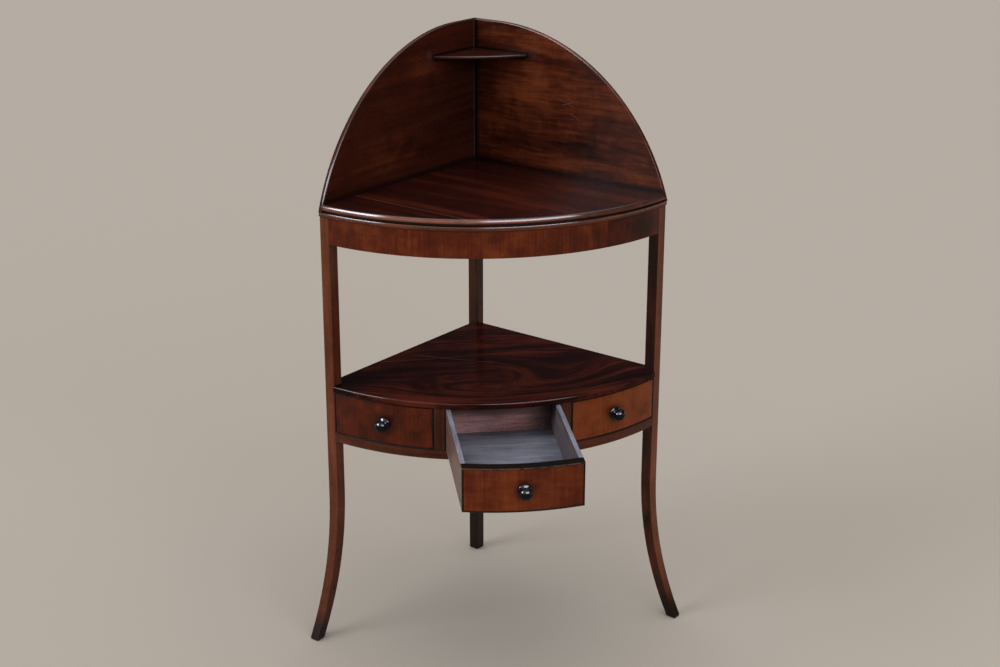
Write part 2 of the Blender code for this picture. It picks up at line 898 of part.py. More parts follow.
def beaded_front(name, edges, thickness, heights):
    """A bowed front, rebated for the beads round it; the upper bead covers its whole top."""
    base, top = heights
    inner = bow_radius - thickness
    rebate = bow_radius - bead_depth - seat_gap
    lower = base + bead_width + seat_gap
    upper = top - bead_width - seat_gap
    profile = [
        (inner, base),
        (rebate, base),
        (rebate, lower),
        (bow_radius, lower),
        (bow_radius, upper),
        (inner, upper),
    ]
    piece = object_from(name, sweep(profile, edges[0], edges[1]))
    far = bow_radius + cut_overrun
    for edge in edges:
        outline = [
            on_bow(rebate, edge(rebate, -cut_overrun)),
            on_bow(far, edge(far, -cut_overrun)),
            on_bow(far, edge(far, bead_width + seat_gap)),
            on_bow(rebate, edge(rebate, bead_width + seat_gap)),
        ]
        cut(piece, prism(outline, base - cut_overrun, top + cut_overrun))
    return piece


def front_beads(prefix, edges, thickness, heights, parent, location, seats=()):
    """The four beads round one front, each its own piece; seats are cut from the top one."""
    base, top = heights
    face = bow_radius
    sweeps = {
        "bead_top": nosed_bead((bow_radius - thickness, face), (top - bead_width, top)),
        "bead_bottom": nosed_bead((face - bead_depth, face), (base, base + bead_width)),
    }
    for name, profile in sweeps.items():
        piece = object_from(prefix + name, sweep(profile, edges[0], edges[1]))
        for seat in seats if name == "bead_top" else ():
            cut(piece, box(*seat))
        finish(piece, "ebonised_wood", parent, location)
    upright = (base + bead_width + seat_gap, top - bead_width - seat_gap)
    for name, edge in zip(("bead_left", "bead_right"), edges):
        piece = object_from(prefix + name, upright_bead(edge, upright))
        finish(piece, "ebonised_wood", parent, location)


def knob_profile():
    """The dowel, collar and ball-shaped head of a knob, as radius and height from the face."""
    points = [(knob_dowel_radius, -knob_dowel_length), (knob_dowel_radius, seat_gap)]
    for radius_share, height_share in zip(knob_radius_shares, knob_height_shares):
        height = seat_gap + knob_projection * height_share
        points.append((knob_radius * radius_share, height))
    return points


def knob_hole(angle, height):
    """The hole for a knob's dowel in a bowed front."""
    x, y = on_bow(bow_radius, angle)
    radius = knob_dowel_radius + seat_gap
    profile = [(radius, -knob_dowel_length - seat_gap), (radius, cut_overrun)]
    return turned(profile, knob_steps, None, (x, y, height), angle)


def knob(name, angle, height, parent, location):
    """A turned knob with its dowel in a bowed front."""
    x, y = on_bow(bow_radius, angle)
    shape = turned(knob_profile(), knob_steps)
    place = (location[0] + x, location[1] + y, location[2] + height)
    finish(object_from(name, shape), "ebonised_wood", parent, place, turn=angle)


def fixed_front(side, bow):
    """A fixed front that looks like a drawer, with its beads and knob."""
    word = "left" if side == LEFT else "right"
    outer = post_edge(side)
    inner = upright_edge(side, opening_half_width + divider_width + seat_gap, outward=True)
    edges = (outer, inner) if side == LEFT else (inner, outer)
    heights = (drawer_base, deck_base - seat_gap)
    piece = beaded_front("dummy_front_" + word, edges, dummy_thickness, heights)
    middle = math.asin((math.sin(outer(bow_radius)) + math.sin(inner(bow_radius))) / 2)
    height = (heights[0] + heights[1]) / 2
    cut(piece, knob_hole(middle, height))
    finish(piece, "mahogany_veneer", bow)
    front_beads("dummy_" + word + "_", edges, dummy_thickness, heights, bow, (0, 0, 0))
    knob("dummy_knob_" + word, middle, height, bow, (0, 0, 0))


def tail_outlines(y_root, length, centres, root_half, tip_half, extra=0.0):
    """Dovetail outlines in Y and Z that widen from root to tip, grown by a clearance."""
    direction = 1 if length > 0 else -1
    outlines = []
    for centre in centres:
        root = root_half + extra
        tip = tip_half + extra
        overlap = direction * extra * 2
        outlines.append([
            (y_root - overlap, centre - root),
            (y_root + length + direction * extra, centre - tip),
            (y_root + length + direction * extra, centre + tip),
            (y_root - overlap, centre + root),
        ])
    return outlines


def front_inner_y(x):
    """Y of the drawer front's back face at a distance from the middle."""
    return -math.sqrt((bow_radius - drawer_front_thickness) ** 2 - x ** 2)


def drawer_sizes():
    """The places that the drawer's boards share, in Y and Z of the closed drawer."""
    inner_x = drawer_half_width - drawer_side_thickness
    sizes = {
        "inner_x": inner_x,
        "seat_y": front_inner_y(inner_x),
        "side_top": drawer_front_top - drawer_side_drop,
        "back_y": drawer_rear_y - drawer_back_thickness,
        "back_base": floor_top + seat_gap,
    }
    sizes["back_top"] = sizes["side_top"] - drawer_back_drop
    sizes["shoulder_y"] = sizes["seat_y"] + seat_gap
    side_height = sizes["side_top"] - drawer_base
    back_height = sizes["back_top"] - sizes["back_base"]
    sizes["tails"] = [drawer_base + side_height * share for share in tail_centre_shares]
    sizes["tail_root"] = side_height * tail_root_half_share
    sizes["tail_tip"] = side_height * tail_tip_half_share
    sizes["rear_tails"] = [sizes["back_base"] + back_height * share for share in rear_tail_centre_shares]
    sizes["rear_tail_root"] = back_height * rear_tail_root_half_share
    sizes["rear_tail_tip"] = back_height * rear_tail_tip_half_share
    return sizes


def drawer_front(slide, origin):
    """The bowed drawer front with sockets, a groove for the floor, its beads and knob."""
    sizes = drawer_sizes()
    edges = (upright_edge(LEFT, drawer_half_width), upright_edge(RIGHT, drawer_half_width))
    heights = (drawer_base, drawer_front_top)
    piece = beaded_front("drawer_front", edges, drawer_front_thickness, heights)
    seat_back = front_inner_y(drawer_half_width) + cut_overrun
    full_height = (drawer_base - cut_overrun, drawer_front_top + cut_overrun)
    seats = []
    for side in (LEFT, RIGHT):
        x_span = signed_span(side, sizes["inner_x"] - seat_gap, drawer_half_width + cut_overrun)
        seats.append((x_span, (sizes["seat_y"], seat_back), full_height))
        cut(piece, box(*seats[-1]))
        sockets = bmesh.new()
        outlines = tail_outlines(
            sizes["shoulder_y"], -tail_length, sizes["tails"], sizes["tail_root"], sizes["tail_tip"], seat_gap
        )
        for outline in outlines:
            side_prism(outline, x_span[0], x_span[1], sockets)
        cut(piece, sockets)
    groove_outer = bow_radius - drawer_front_thickness + drawer_groove_depth + seat_gap
    groove_half = sizes["inner_x"] + drawer_groove_depth + seat_gap
    groove = rectangle(
        (bow_radius - drawer_front_thickness - cut_overrun, groove_outer),
        grown((floor_base, floor_top), seat_gap),
    )
    cut(piece, sweep(groove, upright_edge(LEFT, groove_half), upright_edge(RIGHT, groove_half)))
    height = (heights[0] + heights[1]) / 2
    cut(piece, knob_hole(0.0, height))
    finish(piece, "mahogany_veneer", slide, origin)
    front_beads("drawer_", edges, drawer_front_thickness, heights, slide, origin, seats)
    knob("drawer_knob", 0.0, height, slide, origin)


def drawer_side(side, slide, origin):
    """A drawer side with lapped dovetails in front, through dovetails behind and a groove."""
    sizes = drawer_sizes()
    shoulder = sizes["shoulder_y"]
    rear_shoulder = sizes["back_y"] - seat_gap
    outline = [(shoulder, drawer_base), (drawer_rear_y, drawer_base)]
    outline.append((drawer_rear_y, sizes["back_base"] - seat_gap))
    outline.append((rear_shoulder, sizes["back_base"] - seat_gap))
    length = drawer_rear_y - rear_shoulder
    rear = tail_outlines(
        rear_shoulder, length, sizes["rear_tails"], sizes["rear_tail_root"], sizes["rear_tail_tip"]
    )
    for tail in rear:
        outline.extend(tail)
    outline.append((rear_shoulder, sizes["side_top"]))
    outline.append((shoulder, sizes["side_top"]))
    front = tail_outlines(shoulder, -tail_length, sizes["tails"], sizes["tail_root"], sizes["tail_tip"])
    for tail in reversed(front):
        outline.extend(reversed(tail))
    x_span = signed_span(side, sizes["inner_x"], drawer_half_width)
    name = "drawer_side_left" if side == LEFT else "drawer_side_right"
    piece = object_from(name, side_prism(outline, x_span[0], x_span[1]))
    groove_x = signed_span(side, sizes["inner_x"] - cut_overrun, sizes["inner_x"] + drawer_groove_depth)
    groove_x = grown(groove_x, seat_gap)
    groove_y = (shoulder - cut_overrun, drawer_rear_y + cut_overrun)
    cut(piece, box(groove_x, groove_y, grown((floor_base, floor_top), seat_gap)))
    finish(piece, "drawer_lining", slide, origin)


def drawer_back(slide, origin):
    """The drawer back, with sockets for the sides' tails; the floor runs under it."""
    sizes = drawer_sizes()
    x_span = (-drawer_half_width, drawer_half_width)
    heights = (sizes["back_base"], sizes["back_top"])
    piece = object_from("drawer_back", box(x_span, (sizes["back_y"], drawer_rear_y), heights))
    rear_shoulder = sizes["back_y"] - seat_gap
    root = sizes["rear_tail_root"]
    flare = (sizes["rear_tail_tip"] - root) / (drawer_rear_y - rear_shoulder)
    length = drawer_rear_y - rear_shoulder + cut_overrun
    tip = root + flare * length
    for side in (LEFT, RIGHT):
        sockets = bmesh.new()
        socket_x = signed_span(side, sizes["inner_x"] - seat_gap, drawer_half_width + cut_overrun)
        outlines = tail_outlines(rear_shoulder, length, sizes["rear_tails"], root, tip, seat_gap)
        for outline in outlines:
            side_prism(outline, socket_x[0], socket_x[1], sockets)
        cut(piece, sockets)
    finish(piece, "drawer_lining", slide, origin)


def drawer_bottom(slide, origin):
    """The drawer floor, let into the sides and the front."""
    sizes = drawer_sizes()
    half = sizes["inner_x"] + drawer_groove_depth
    radius = bow_radius - drawer_front_thickness + drawer_groove_depth
    start = upright_edge(LEFT, half)(radius)
    end = upright_edge(RIGHT, half)(radius)
    outline = arc_points(radius, start, end, steps_between(start, end))
    outline.append((half, drawer_rear_y))
    outline.append((-half, drawer_rear_y))
    piece = object_from("drawer_bottom", prism(outline, floor_base, floor_top))
    finish(piece, "drawer_lining", slide, origin)


def runner_spans():
    """The runner's inner and outer X, and the radius of its front end."""
    inner = opening_half_width - runner_width_under
    outer = opening_half_width + guide_width
    return inner, outer, bow_radius - bow_rail_depth - seat_gap


def runner_tongue(side, extra):
    """The tongue on a runner's front end, or with a clearance the mortise for it."""
    inner, outer, radius = runner_spans()
    middle = (inner + outer) / 2
    x_span = signed_span(side, middle - runner_tongue_half_width, middle + runner_tongue_half_width)
    front = -math.sqrt(radius ** 2 - middle ** 2)
    y_span = (front - runner_tongue_length, front + cut_overrun)
    centre = bow_rail_top - runner_height / 2
    z_span = (centre - runner_tongue_thickness / 2, centre + runner_tongue_thickness / 2)
    return box(grown(x_span, extra), grown(y_span, extra), grown(z_span, extra))


def case_side_y(x):
    """Y of the plane just inside a case side, at a distance from the middle."""
    return root_two * (bow_inset - case_inner_face - seat_gap) - x


def runner(side, bow):
    """The strip under a drawer side and, on it, the guide beside the drawer."""
    word = "left" if side == LEFT else "right"
    inner, outer, radius = runner_spans()
    outline = [
        (side * inner, -math.sqrt(radius ** 2 - inner ** 2)),
        (side * outer, -math.sqrt(radius ** 2 - outer ** 2)),
        (side * outer, case_side_y(outer)),
        (side * inner, case_side_y(inner)),
    ]
    piece = object_from("drawer_runner_" + word, prism(outline, bow_rail_top - runner_height, bow_rail_top))
    join(piece, runner_tongue(side, 0.0))
    finish(piece, "carcass_wood", bow)

    front = divider_spans()[2] + seat_gap
    guide_inner = opening_half_width
    outline = [
        (side * guide_inner, front),
        (side * outer, front),
        (side * outer, case_side_y(outer)),
        (side * guide_inner, case_side_y(guide_inner)),
    ]
    shape = prism(outline, drawer_base, drawer_base + guide_height)
    finish(object_from("drawer_guide_" + word, shape), "carcass_wood", bow)


def drawer_stop(side, bow):
    """A small block on the bowed rail that the drawer front closes against."""
    word = "left" if side == LEFT else "right"
    outer = bow_radius - drawer_front_thickness - stop_clearance
    edges = sorted((side * (stop_offset - stop_half_width), side * (stop_offset + stop_half_width)))

    def start(radius, inset=0.0):
        return math.asin(edges[0] / radius)

    def end(radius, inset=0.0):
        return math.asin(edges[1] / radius)

    profile = rectangle((outer - stop_depth, outer), (drawer_base, drawer_base + stop_height))
    finish(object_from("drawer_stop_" + word, sweep(profile, start, end)), "carcass_wood", bow)


def top_glue_block(side, bow):
    """A block in the angle between the frieze and the board over it."""
    outer = bow_radius - veneer_thickness - seat_gap - frieze_thickness - seat_gap
    profile = rectangle((outer - block_size, outer), (post_top - block_size, post_top))
    middle = math.radians(frieze_block_angle)
    half = math.asin(block_length / 2 / outer)
    ends = sorted((side * (middle - half), side * (middle + half)))
    shape = sweep(profile, lambda radius: ends[0], lambda radius: ends[1])
    name = "top_glue_block_left" if side == LEFT else "top_glue_block_right"
    finish(object_from(name, shape), "carcass_wood", bow)


def deck_glue_block(side, corner):
    """A block in the angle between a case side and the deck, clear of the closed drawer."""
    top = wall_rails["case_side"][2]
    inward = (case_inner_face + seat_gap, case_inner_face + seat_gap + block_size)
    start = root_two * (opening_half_width + deck_block_clearance) + inward[1]
    shape = wall_box(side, (start, start + block_length), inward, (top - block_size, top))
    name = "deck_glue_block_left" if side == LEFT else "deck_glue_block_right"
    finish(object_from(name, shape), "carcass_wood", corner, turn=wall_turn(side))


def build():
    """Make the whole stand."""
    clear_scene()
    corner = empty("wall_corner", (0, corner_y, 0))
    bow = empty("bow_centre", (0, bow_y, 0))
    slide_height = (drawer_base + drawer_front_top) / 2
    slide = empty("drawer_slide", (0, bow_y - drawer_open, slide_height))
    in_slide = (0, 0, -slide_height)

    rear_leg(corner)
    for side in (LEFT, RIGHT):
        front_leg(side, corner)
        splash_panel(side, corner)
        divider(side, bow)
        fixed_front(side, bow)
        runner(side, bow)
        drawer_stop(side, bow)
        top_glue_block(side, bow)
        deck_glue_block(side, corner)
        drawer_side(side, slide, in_slide)
        for kind in wall_rails:
            wall_rail(kind, side, corner)
    frieze(bow)
    under_top(bow)
    top_boards(bow)
    deck(bow)
    soap_shelf(corner)
    splash_screws(corner)
    bow_rail(bow)
    drawer_front(slide, in_slide)
    drawer_back(slide, in_slide)
    drawer_bottom(slide, in_slide)


build()
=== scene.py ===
"""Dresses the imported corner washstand: eased arrises, finer mouldings, old mahogany finishes.

Every shown piece replaces one solid of the frame and rides on that solid's body. Lengths are
in metres, in the frame's own place: the origin is under the rear leg, the bow faces -Y.
"""

import math

import bmesh
import bpy
from bpy.props import FloatProperty, FloatVectorProperty, IntProperty, PointerProperty
from mathutils import Matrix, Vector


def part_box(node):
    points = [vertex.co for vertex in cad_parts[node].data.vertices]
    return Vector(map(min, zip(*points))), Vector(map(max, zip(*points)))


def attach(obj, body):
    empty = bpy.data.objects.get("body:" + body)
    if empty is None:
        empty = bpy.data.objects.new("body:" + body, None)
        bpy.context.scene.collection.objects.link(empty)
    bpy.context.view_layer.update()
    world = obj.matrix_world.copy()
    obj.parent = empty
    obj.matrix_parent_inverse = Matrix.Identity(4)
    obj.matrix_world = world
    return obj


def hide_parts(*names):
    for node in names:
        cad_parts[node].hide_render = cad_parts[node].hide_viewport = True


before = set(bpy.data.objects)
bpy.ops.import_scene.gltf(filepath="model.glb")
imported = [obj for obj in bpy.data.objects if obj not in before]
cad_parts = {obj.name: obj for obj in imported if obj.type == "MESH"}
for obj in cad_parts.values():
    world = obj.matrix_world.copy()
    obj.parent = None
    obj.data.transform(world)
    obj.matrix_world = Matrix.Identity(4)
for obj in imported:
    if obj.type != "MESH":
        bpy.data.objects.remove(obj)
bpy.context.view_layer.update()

bl_info = {
    "name": "Corner Washstand",
    "version": (1, 0, 0),
    "blender": (4, 5, 0),
    "location": "3D View > Sidebar > Washstand",
    "description": "Adds the finished pieces of a bow-front corner washstand to its frame",
    "category": "Add Mesh",
}

LEFT = -1
RIGHT = 1
sides = ((LEFT, "left"), (RIGHT, "right"))

# The plan of the stand, as the frame has it
root_two = math.sqrt(2)
wall_length = 0.430
post_width = 0.0205
bow_inset = 0.0121
corner_y = post_width / root_two
bow_y = corner_y - root_two * bow_inset
bow_radius = math.hypot(wall_length - bow_inset, post_width - bow_inset)
seat_gap = 0.0003
panel_thickness = 0.009
panel_face_y = corner_y - root_two * panel_thickness
end_board_width = 0.077
top_seam_along = wall_length - end_board_width

# Heights of the boards, from their solids
top_base, top_surface = [corner.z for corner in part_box("top_board_main")]
under_top_base, under_top_top = [corner.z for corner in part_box("under_top")]
deck_base, deck_top = [corner.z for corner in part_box("deck_board")]
shelf_base, shelf_top = [corner.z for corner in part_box("soap_shelf")]
stand_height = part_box("splash_panel_left")[1].z

# Moulded edges of the boards: arcs from the top down, each with the angles at which the
# surface faces at its two ends, in degrees above level, and its radius
top_overhang = 0.0065
top_nose_arcs = ((90, 27, 0.0028), (27, 9, 0.0160), (9, -78, 0.0030))
top_quirk_inset = 0.0030
under_top_overhang = 0.002
under_top_arcs = ((90, 32, 0.0014), (32, 10, 0.0032), (10, -4, 0.0190), (-4, -86, 0.0016))
deck_overhang = 0.002
deck_arcs = ((90, 30, 0.0016), (30, 8, 0.0026), (8, 0, 0.0160))
deck_lower_round = 0.0008
cut_overrun = 0.004

# Arrises with a rounding of their own
shelf_arris = 0.0022
veneer_arris = 0.00018
front_arris = 0.0003

# Case front
opening_half_width = 0.102
divider_width = 0.0195

# Slots of the screw heads
slot_half_width = 0.00035
slot_depth = 0.0008

# Knobs: radius shares of the collar, height shares of the projection
knob_radius = 0.0112
knob_projection = 0.023
knob_dowel_radius = 0.004
knob_dowel_length = 0.009
knob_radius_shares = (0.93, 1.00, 0.98, 0.84, 0.58, 0.52, 0.64, 0.86, 0.965, 0.90, 0.71, 0.41, 0.14)
knob_height_shares = (0.00, 0.04, 0.10, 0.15, 0.21, 0.28, 0.36, 0.49, 0.64, 0.78, 0.89, 0.97, 1.00)
knob_curve_steps = 5

# Faces that look one way: the least share of their normal in that way
facing = 0.8

# The tongue in the deck's figure
swirl_place = (-0.005, -0.290, 0.486)
swirl_reach = (0.28, 0.15, 0.20)

# The bright coat where handling polishes the wood
coat_ior = 2.2
mahogany_coat_roughness = 0.10
ebony_coat_roughness = 0.06
nose_brightness = 0.78
knob_brightness = 0.80

# Camera of the photograph, for a picture 1000 pixels wide
camera_place = (-0.3639, -3.1321, 1.5906)
camera_yaw = 7.482
camera_pitch = 19.640
camera_roll = 0.108
camera_focal_pixels = 1703.18
picture_width = 1000

# The floor, which reaches beyond the top of the picture
floor_half_size = 40.0

# Soft panels of light: degrees to the right of straight in front, sines of the elevations,
# brightness and colour
soft_panels = (
    (-86, -57, 0.27, 0.56, 9.2, "window_light"),
    (-57, -3, 0.22, 0.46, 0.5, "room_light"),
    (-3, 44, 0.25, 0.54, 4.4, "window_light"),
    (130, 176, 0.00, 0.40, 0.035, "window_light"),
    (-176, -130, 0.00, 0.40, 0.035, "window_light"),
)
panel_blur_degrees = 4
panel_blur_height = 0.03


def length_property(name, description, default, low, high):
    """A length that a user may change."""
    return FloatProperty(
        name=name, description=description, default=default, min=low, max=high,
        subtype="DISTANCE", unit="LENGTH",
    )


def count_property(name, description, default, low, high):
    """A number of steps that a user may change."""
    return IntProperty(name=name, description=description, default=default, min=low, max=high)


def tint(name, description, default):
    """A colour that a user may change."""
    return FloatVectorProperty(
        name=name, description=description, default=default, min=0.0, max=1.0, size=3, subtype="COLOR",
    )


class WashstandSizes(bpy.types.PropertyGroup):
    """Sizes of the finer shapes."""

    show_arris: length_property("Show Arris", "Rounding of the polished pieces", 0.0008, 0.0001, 0.002)
    rough_arris: length_property("Rough Arris", "Rounding of the hidden pieces", 0.0005, 0.0001, 0.002)
    bead_arris: length_property("Bead Arris", "Rounding of the black beads", 0.0003, 0.0001, 0.0008)
    panel_arris: length_property("Panel Arris", "Rounding of the arched edges", 0.0022, 0.0005, 0.004)
    bow_steps: count_property("Bow Steps", "Straight steps along each bowed board", 84, 24, 240)
    nose_steps: count_property("Nose Steps", "Steps round each moulded edge", 14, 6, 40)
    knob_steps: count_property("Knob Steps", "Steps round each turned knob", 64, 16, 160)


class WashstandColours(bpy.types.PropertyGroup):
    """Colours of the finishes, the floor and the lights."""

    top_deep: tint("Top Deep", "Darkest streaks of the top and the deck", (0.0065, 0.0018, 0.0014))
    top_middle: tint("Top Middle", "Usual colour of the top and the deck", (0.024, 0.0046, 0.0030))
    top_bright: tint("Top Bright", "Red streaks of the top and the deck", (0.090, 0.0155, 0.0070))
    splash_deep: tint("Splash Deep", "Darkest parts of the arched panels", (0.012, 0.0028, 0.0016))
    splash_middle: tint("Splash Middle", "Usual colour of the arched panels", (0.052, 0.0105, 0.0046))
    splash_bright: tint("Splash Bright", "Orange parts of the arched panels", (0.150, 0.033, 0.010))
    veneer_deep: tint("Veneer Deep", "Darkest parts of the veneer", (0.026, 0.0050, 0.0024))
    veneer_middle: tint("Veneer Middle", "Usual colour of the veneer", (0.096, 0.0136, 0.0034))
    veneer_bright: tint("Veneer Bright", "Orange parts of the veneer", (0.215, 0.044, 0.0085))
    frame_deep: tint("Frame Deep", "Darkest parts of the legs and rails", (0.018, 0.0045, 0.0022))
    frame_middle: tint("Frame Middle", "Usual colour of the legs and rails", (0.098, 0.0225, 0.0085))
    frame_bright: tint("Frame Bright", "Worn, warm parts of the legs", (0.220, 0.060, 0.022))
    black: tint("Ebonised", "Black of the beads", (0.0075, 0.0046, 0.0038))
    knob_black: tint("Knob Black", "Cold black of the knobs", (0.0040, 0.0044, 0.0068))
    # Dirt in the pores, and painted shade in corners, in the quirk, under the bead board, round the knobs
    # and inside the drawer
    grime: tint("Grime", "Dirt in the inner corners", (0.0050, 0.0030, 0.0026))
    # A dull grey line beside the corner, and painted sheen round the tips of the soap shelf
    dust: tint("Dust", "Dull grey dust and rubbed polish", (0.095, 0.102, 0.118))
    polish: tint("Polish", "Tint of what the old polish reflects", (1.0, 0.86, 0.76))
    worn: tint("Worn Arris", "Bare wood on the worn arrises", (0.240, 0.115, 0.065))
    # Painted highlight along the bull nose, given as coppery worn wood
    rubbed: tint("Rubbed Nose", "Coppery wood along the rubbed bull nose", (0.380, 0.125, 0.070))
    # Painted reflection: these lining colours carry a blue tint for the blue sheen inside the drawer, over
    # the grey of the dry wood
    lining: tint("Lining", "Dry wood inside the drawer", (0.330, 0.340, 0.400))
    lining_dark: tint("Lining Dark", "Darker grain inside the drawer", (0.105, 0.105, 0.122))
    lining_warm: tint("Lining Warm", "Outer faces of the drawer's sides", (0.260, 0.140, 0.108))
    lining_warm_dark: tint("Lining Warm Dark", "Darker grain of those faces", (0.105, 0.055, 0.042))
    lining_red: tint("Lining Red", "Redder wood of the drawer's back", (0.640, 0.320, 0.260))
    lining_red_dark: tint("Lining Red Dark", "Darker grain of the redder wood", (0.110, 0.040, 0.032))
    lining_pale: tint("Lining Pale", "Pale dust at the foot of the drawer's back", (0.420, 0.380, 0.340))
    pine: tint("Carcass Pine", "Old pine of the hidden pieces", (0.270, 0.150, 0.075))
    pine_dark: tint("Carcass Pine Dark", "Dirt and late wood of the pine", (0.110, 0.055, 0.028))
    steel: tint("Screw Steel", "Metal of the screws", (0.240, 0.225, 0.205))
    rust: tint("Screw Rust", "Rust on the screws", (0.110, 0.045, 0.020))
    floor: tint("Floor", "The plain floor", (0.440, 0.385, 0.310))
    backdrop: tint("Backdrop", "What the camera sees beyond the floor", (0.500, 0.455, 0.395))
    window_light: tint("Window Light", "The cool light of the windows", (0.80, 0.85, 1.0))
    room_light: tint("Room Light", "The light from the front", (1.0, 0.72, 0.56))
    sky: tint("Overhead Light", "The soft light from above", (0.96, 0.97, 1.0))


def sizes():
    """The sizes that the user has set."""
    return bpy.context.scene.washstand_sizes


def colour(name):
    """One of the user's colours, with a full alpha."""
    return (*getattr(bpy.context.scene.washstand_colours, name), 1.0)


# Shader nodes


class Wiring:
    """Places nodes in one tree and joins them, so that a finish reads as a list of steps."""

    def __init__(self, tree):
        self.tree = tree
        self.count = 0

    def node(self, kind, **settings):
        """A new node with its settings."""
        made = self.tree.nodes.new(kind)
        made.location = (220 * (self.count % 12), -260 * (self.count // 12))
        self.count += 1
        for name, value in settings.items():
            setattr(made, name, value)
        return made

    def feed(self, socket, value):
        """Give a socket a link or a constant."""
        if isinstance(value, bpy.types.NodeSocket):
            self.tree.links.new(value, socket)
        else:
            socket.default_value = value

    def fill(self, made, **values):
        """Feed a node's inputs by name, with underscores for blanks; gives back its outputs."""
        for name, value in values.items():
            self.feed(made.inputs[name.replace("_", " ")], value)
        return made.outputs

    def math(self, operation, first, second=0.0):
        """One sum of two numbers."""
        made = self.node("ShaderNodeMath", operation=operation)
        self.feed(made.inputs[0], first)
        self.feed(made.inputs[1], second)
        return made.outputs[0]

    def chain(self, operation, values):
        """The same sum from number to number."""
        result = values[0]
        for value in values[1:]:
            result = self.math(operation, result, value)
        return result

    def total(self, *values):
        """The sum of several numbers."""
        return self.chain("ADD", values)

    def times(self, *values):
        """The product of several numbers."""
        return self.chain("MULTIPLY", values)

    def less(self, *values):
        """The first number less the others."""
        return self.chain("SUBTRACT", values)

    def largest(self, *values):
        """The largest of several numbers."""
        return self.chain("MAXIMUM", values)

    def away(self, value, level):
        """How far a number is from a level."""
        return self.math("ABSOLUTE", self.less(value, level))

    def vector_math(self, operation, first, second=None):
        """One sum of two vectors."""
        made = self.node("ShaderNodeVectorMath", operation=operation)
        self.feed(made.inputs[0], first)
        if second is not None:
            socket = made.inputs["Scale"] if operation == "SCALE" else made.inputs[1]
            self.feed(socket, second)
        return made.outputs["Value"] if operation in ("LENGTH", "DOT_PRODUCT") else made.outputs[0]

    def stretched(self, vector, scales):
        """A vector with each of its parts scaled."""
        return self.vector_math("MULTIPLY", vector, scales)

    def split(self, vector):
        """The three parts of a vector."""
        made = self.node("ShaderNodeSeparateXYZ")
        self.feed(made.inputs[0], vector)
        return made.outputs

    def joined(self, x, y, z):
        """A vector from its three parts."""
        return self.fill(self.node("ShaderNodeCombineXYZ"), X=x, Y=y, Z=z)[0]

    def noise(self, vector, detail=2.0, roughness=0.5, distortion=0.0):
        """Cloudy noise, from 0 to 1, one blot to each unit of the vector."""
        made = self.node("ShaderNodeTexNoise")
        self.fill(made, Vector=vector, Scale=1.0, Detail=detail, Roughness=roughness)
        return self.fill(made, Distortion=distortion)[0]

    def cloud(self, place, scale, detail=2.0, roughness=0.5):
        """Noise that is as fine in every direction."""
        return self.noise(self.stretched(place, (scale, scale, scale)), detail, roughness)

    def slope(self, value, low, high, start=0.0, end=1.0):
        """A soft step from start to end while the value goes from low to high."""
        made = self.node("ShaderNodeMapRange", interpolation_type="SMOOTHSTEP")
        return self.fill(made, Value=value, From_Min=low, From_Max=high, To_Min=start, To_Max=end)[0]

    def fade(self, value, low, high, start=1.0):
        """A soft step down to nothing."""
        return self.slope(value, low, high, start, 0.0)

    def mix(self, share, first, second, blend="MIX"):
        """Two colours mixed by a share."""
        made = self.node("ShaderNodeMix", data_type="RGBA", blend_type=blend, clamp_factor=True)
        self.feed(made.inputs[0], share)
        self.feed(made.inputs[6], first)
        self.feed(made.inputs[7], second)
        return made.outputs[2]

    def attribute(self, name, kind="GEOMETRY", part="Fac"):
        """A value that the mesh or the object carries."""
        made = self.node("ShaderNodeAttribute", attribute_type=kind, attribute_name=name)
        return made.outputs[part]

    def place(self):
        """The point's own place in the closed frame, which rides with the piece."""
        return self.node("ShaderNodeTexCoord").outputs["Object"]

    def ramp(self, value, stops):
        """A colour ramp with the given stops."""
        made = self.node("ShaderNodeValToRGB")
        elements = made.color_ramp.elements
        while len(elements) < len(stops):
            elements.new(0.5)
        for element, (position, shown) in zip(elements, stops):
            element.position = position
            element.color = shown
        self.feed(made.inputs[0], value)
        return made.outputs[0]

    def group(self, name, **values):
        """One of the shared effects, with its inputs fed by name."""
        return self.fill(self.node("ShaderNodeGroup", node_tree=node_group(name)), **values)

    def worn(self, place, amount):
        """Where an arris has lost its colour."""
        return self.group("Worn Arris", Place=place, Edge=self.attribute("edge"), Amount=amount)["Worn"]

    def marked(self, base, place, marks):
        """A colour with each mark's own colour laid over it through its mask."""
        for mask, name in marks:
            base = self.mix(mask(self, place), base, colour(name))
        return base

    def bump(self, height, strength, distance):
        """A normal from a height."""
        made = self.node("ShaderNodeBump")
        return self.fill(made, Strength=strength, Distance=distance, Height=height)[0]

    def spot(self, place, centre, reach):
        """A soft mask round a point: 1 in the middle, 0 at the reach."""
        offset = self.vector_math("SUBTRACT", place, centre)
        shares = tuple(1 / length for length in reach)
        distance = self.vector_math("LENGTH", self.stretched(offset, shares))
        return self.fade(distance, 0.15, 1.0)


def with_grain(along, across):
    """Scales of a noise along the grain and across it."""
    return (along, across, across)


def build_wood_figure(wiring, entry):
    """Figure, streaks, fine lines, pores and cross mottle of a wood, from its grain direction."""
    grain = entry["Grain"]
    drift = wiring.noise(wiring.stretched(grain, with_grain(3.1, 9.0)), 1.5)
    drift = wiring.times(wiring.less(drift, 0.5), entry["Waver"])
    wavy = wiring.vector_math("ADD", grain, wiring.joined(0.0, drift, drift))
    pores = wiring.noise(wiring.stretched(grain, with_grain(130.0, 2300.0)), 0.0)
    return {
        "Figure": wiring.noise(wiring.stretched(wavy, entry["Figure Scale"]), 4.0, 0.55, 0.35),
        "Streak": wiring.noise(wiring.stretched(wavy, entry["Streak Scale"]), 3.0, 0.6),
        "Fine": wiring.noise(wiring.stretched(wavy, with_grain(16.0, 850.0)), 2.0, 0.6),
        "Pore": wiring.slope(pores, 0.64, 0.74),
        "Mottle": wiring.noise(wiring.stretched(wavy, with_grain(46.0, 30.0)), 3.0, 0.6),
    }


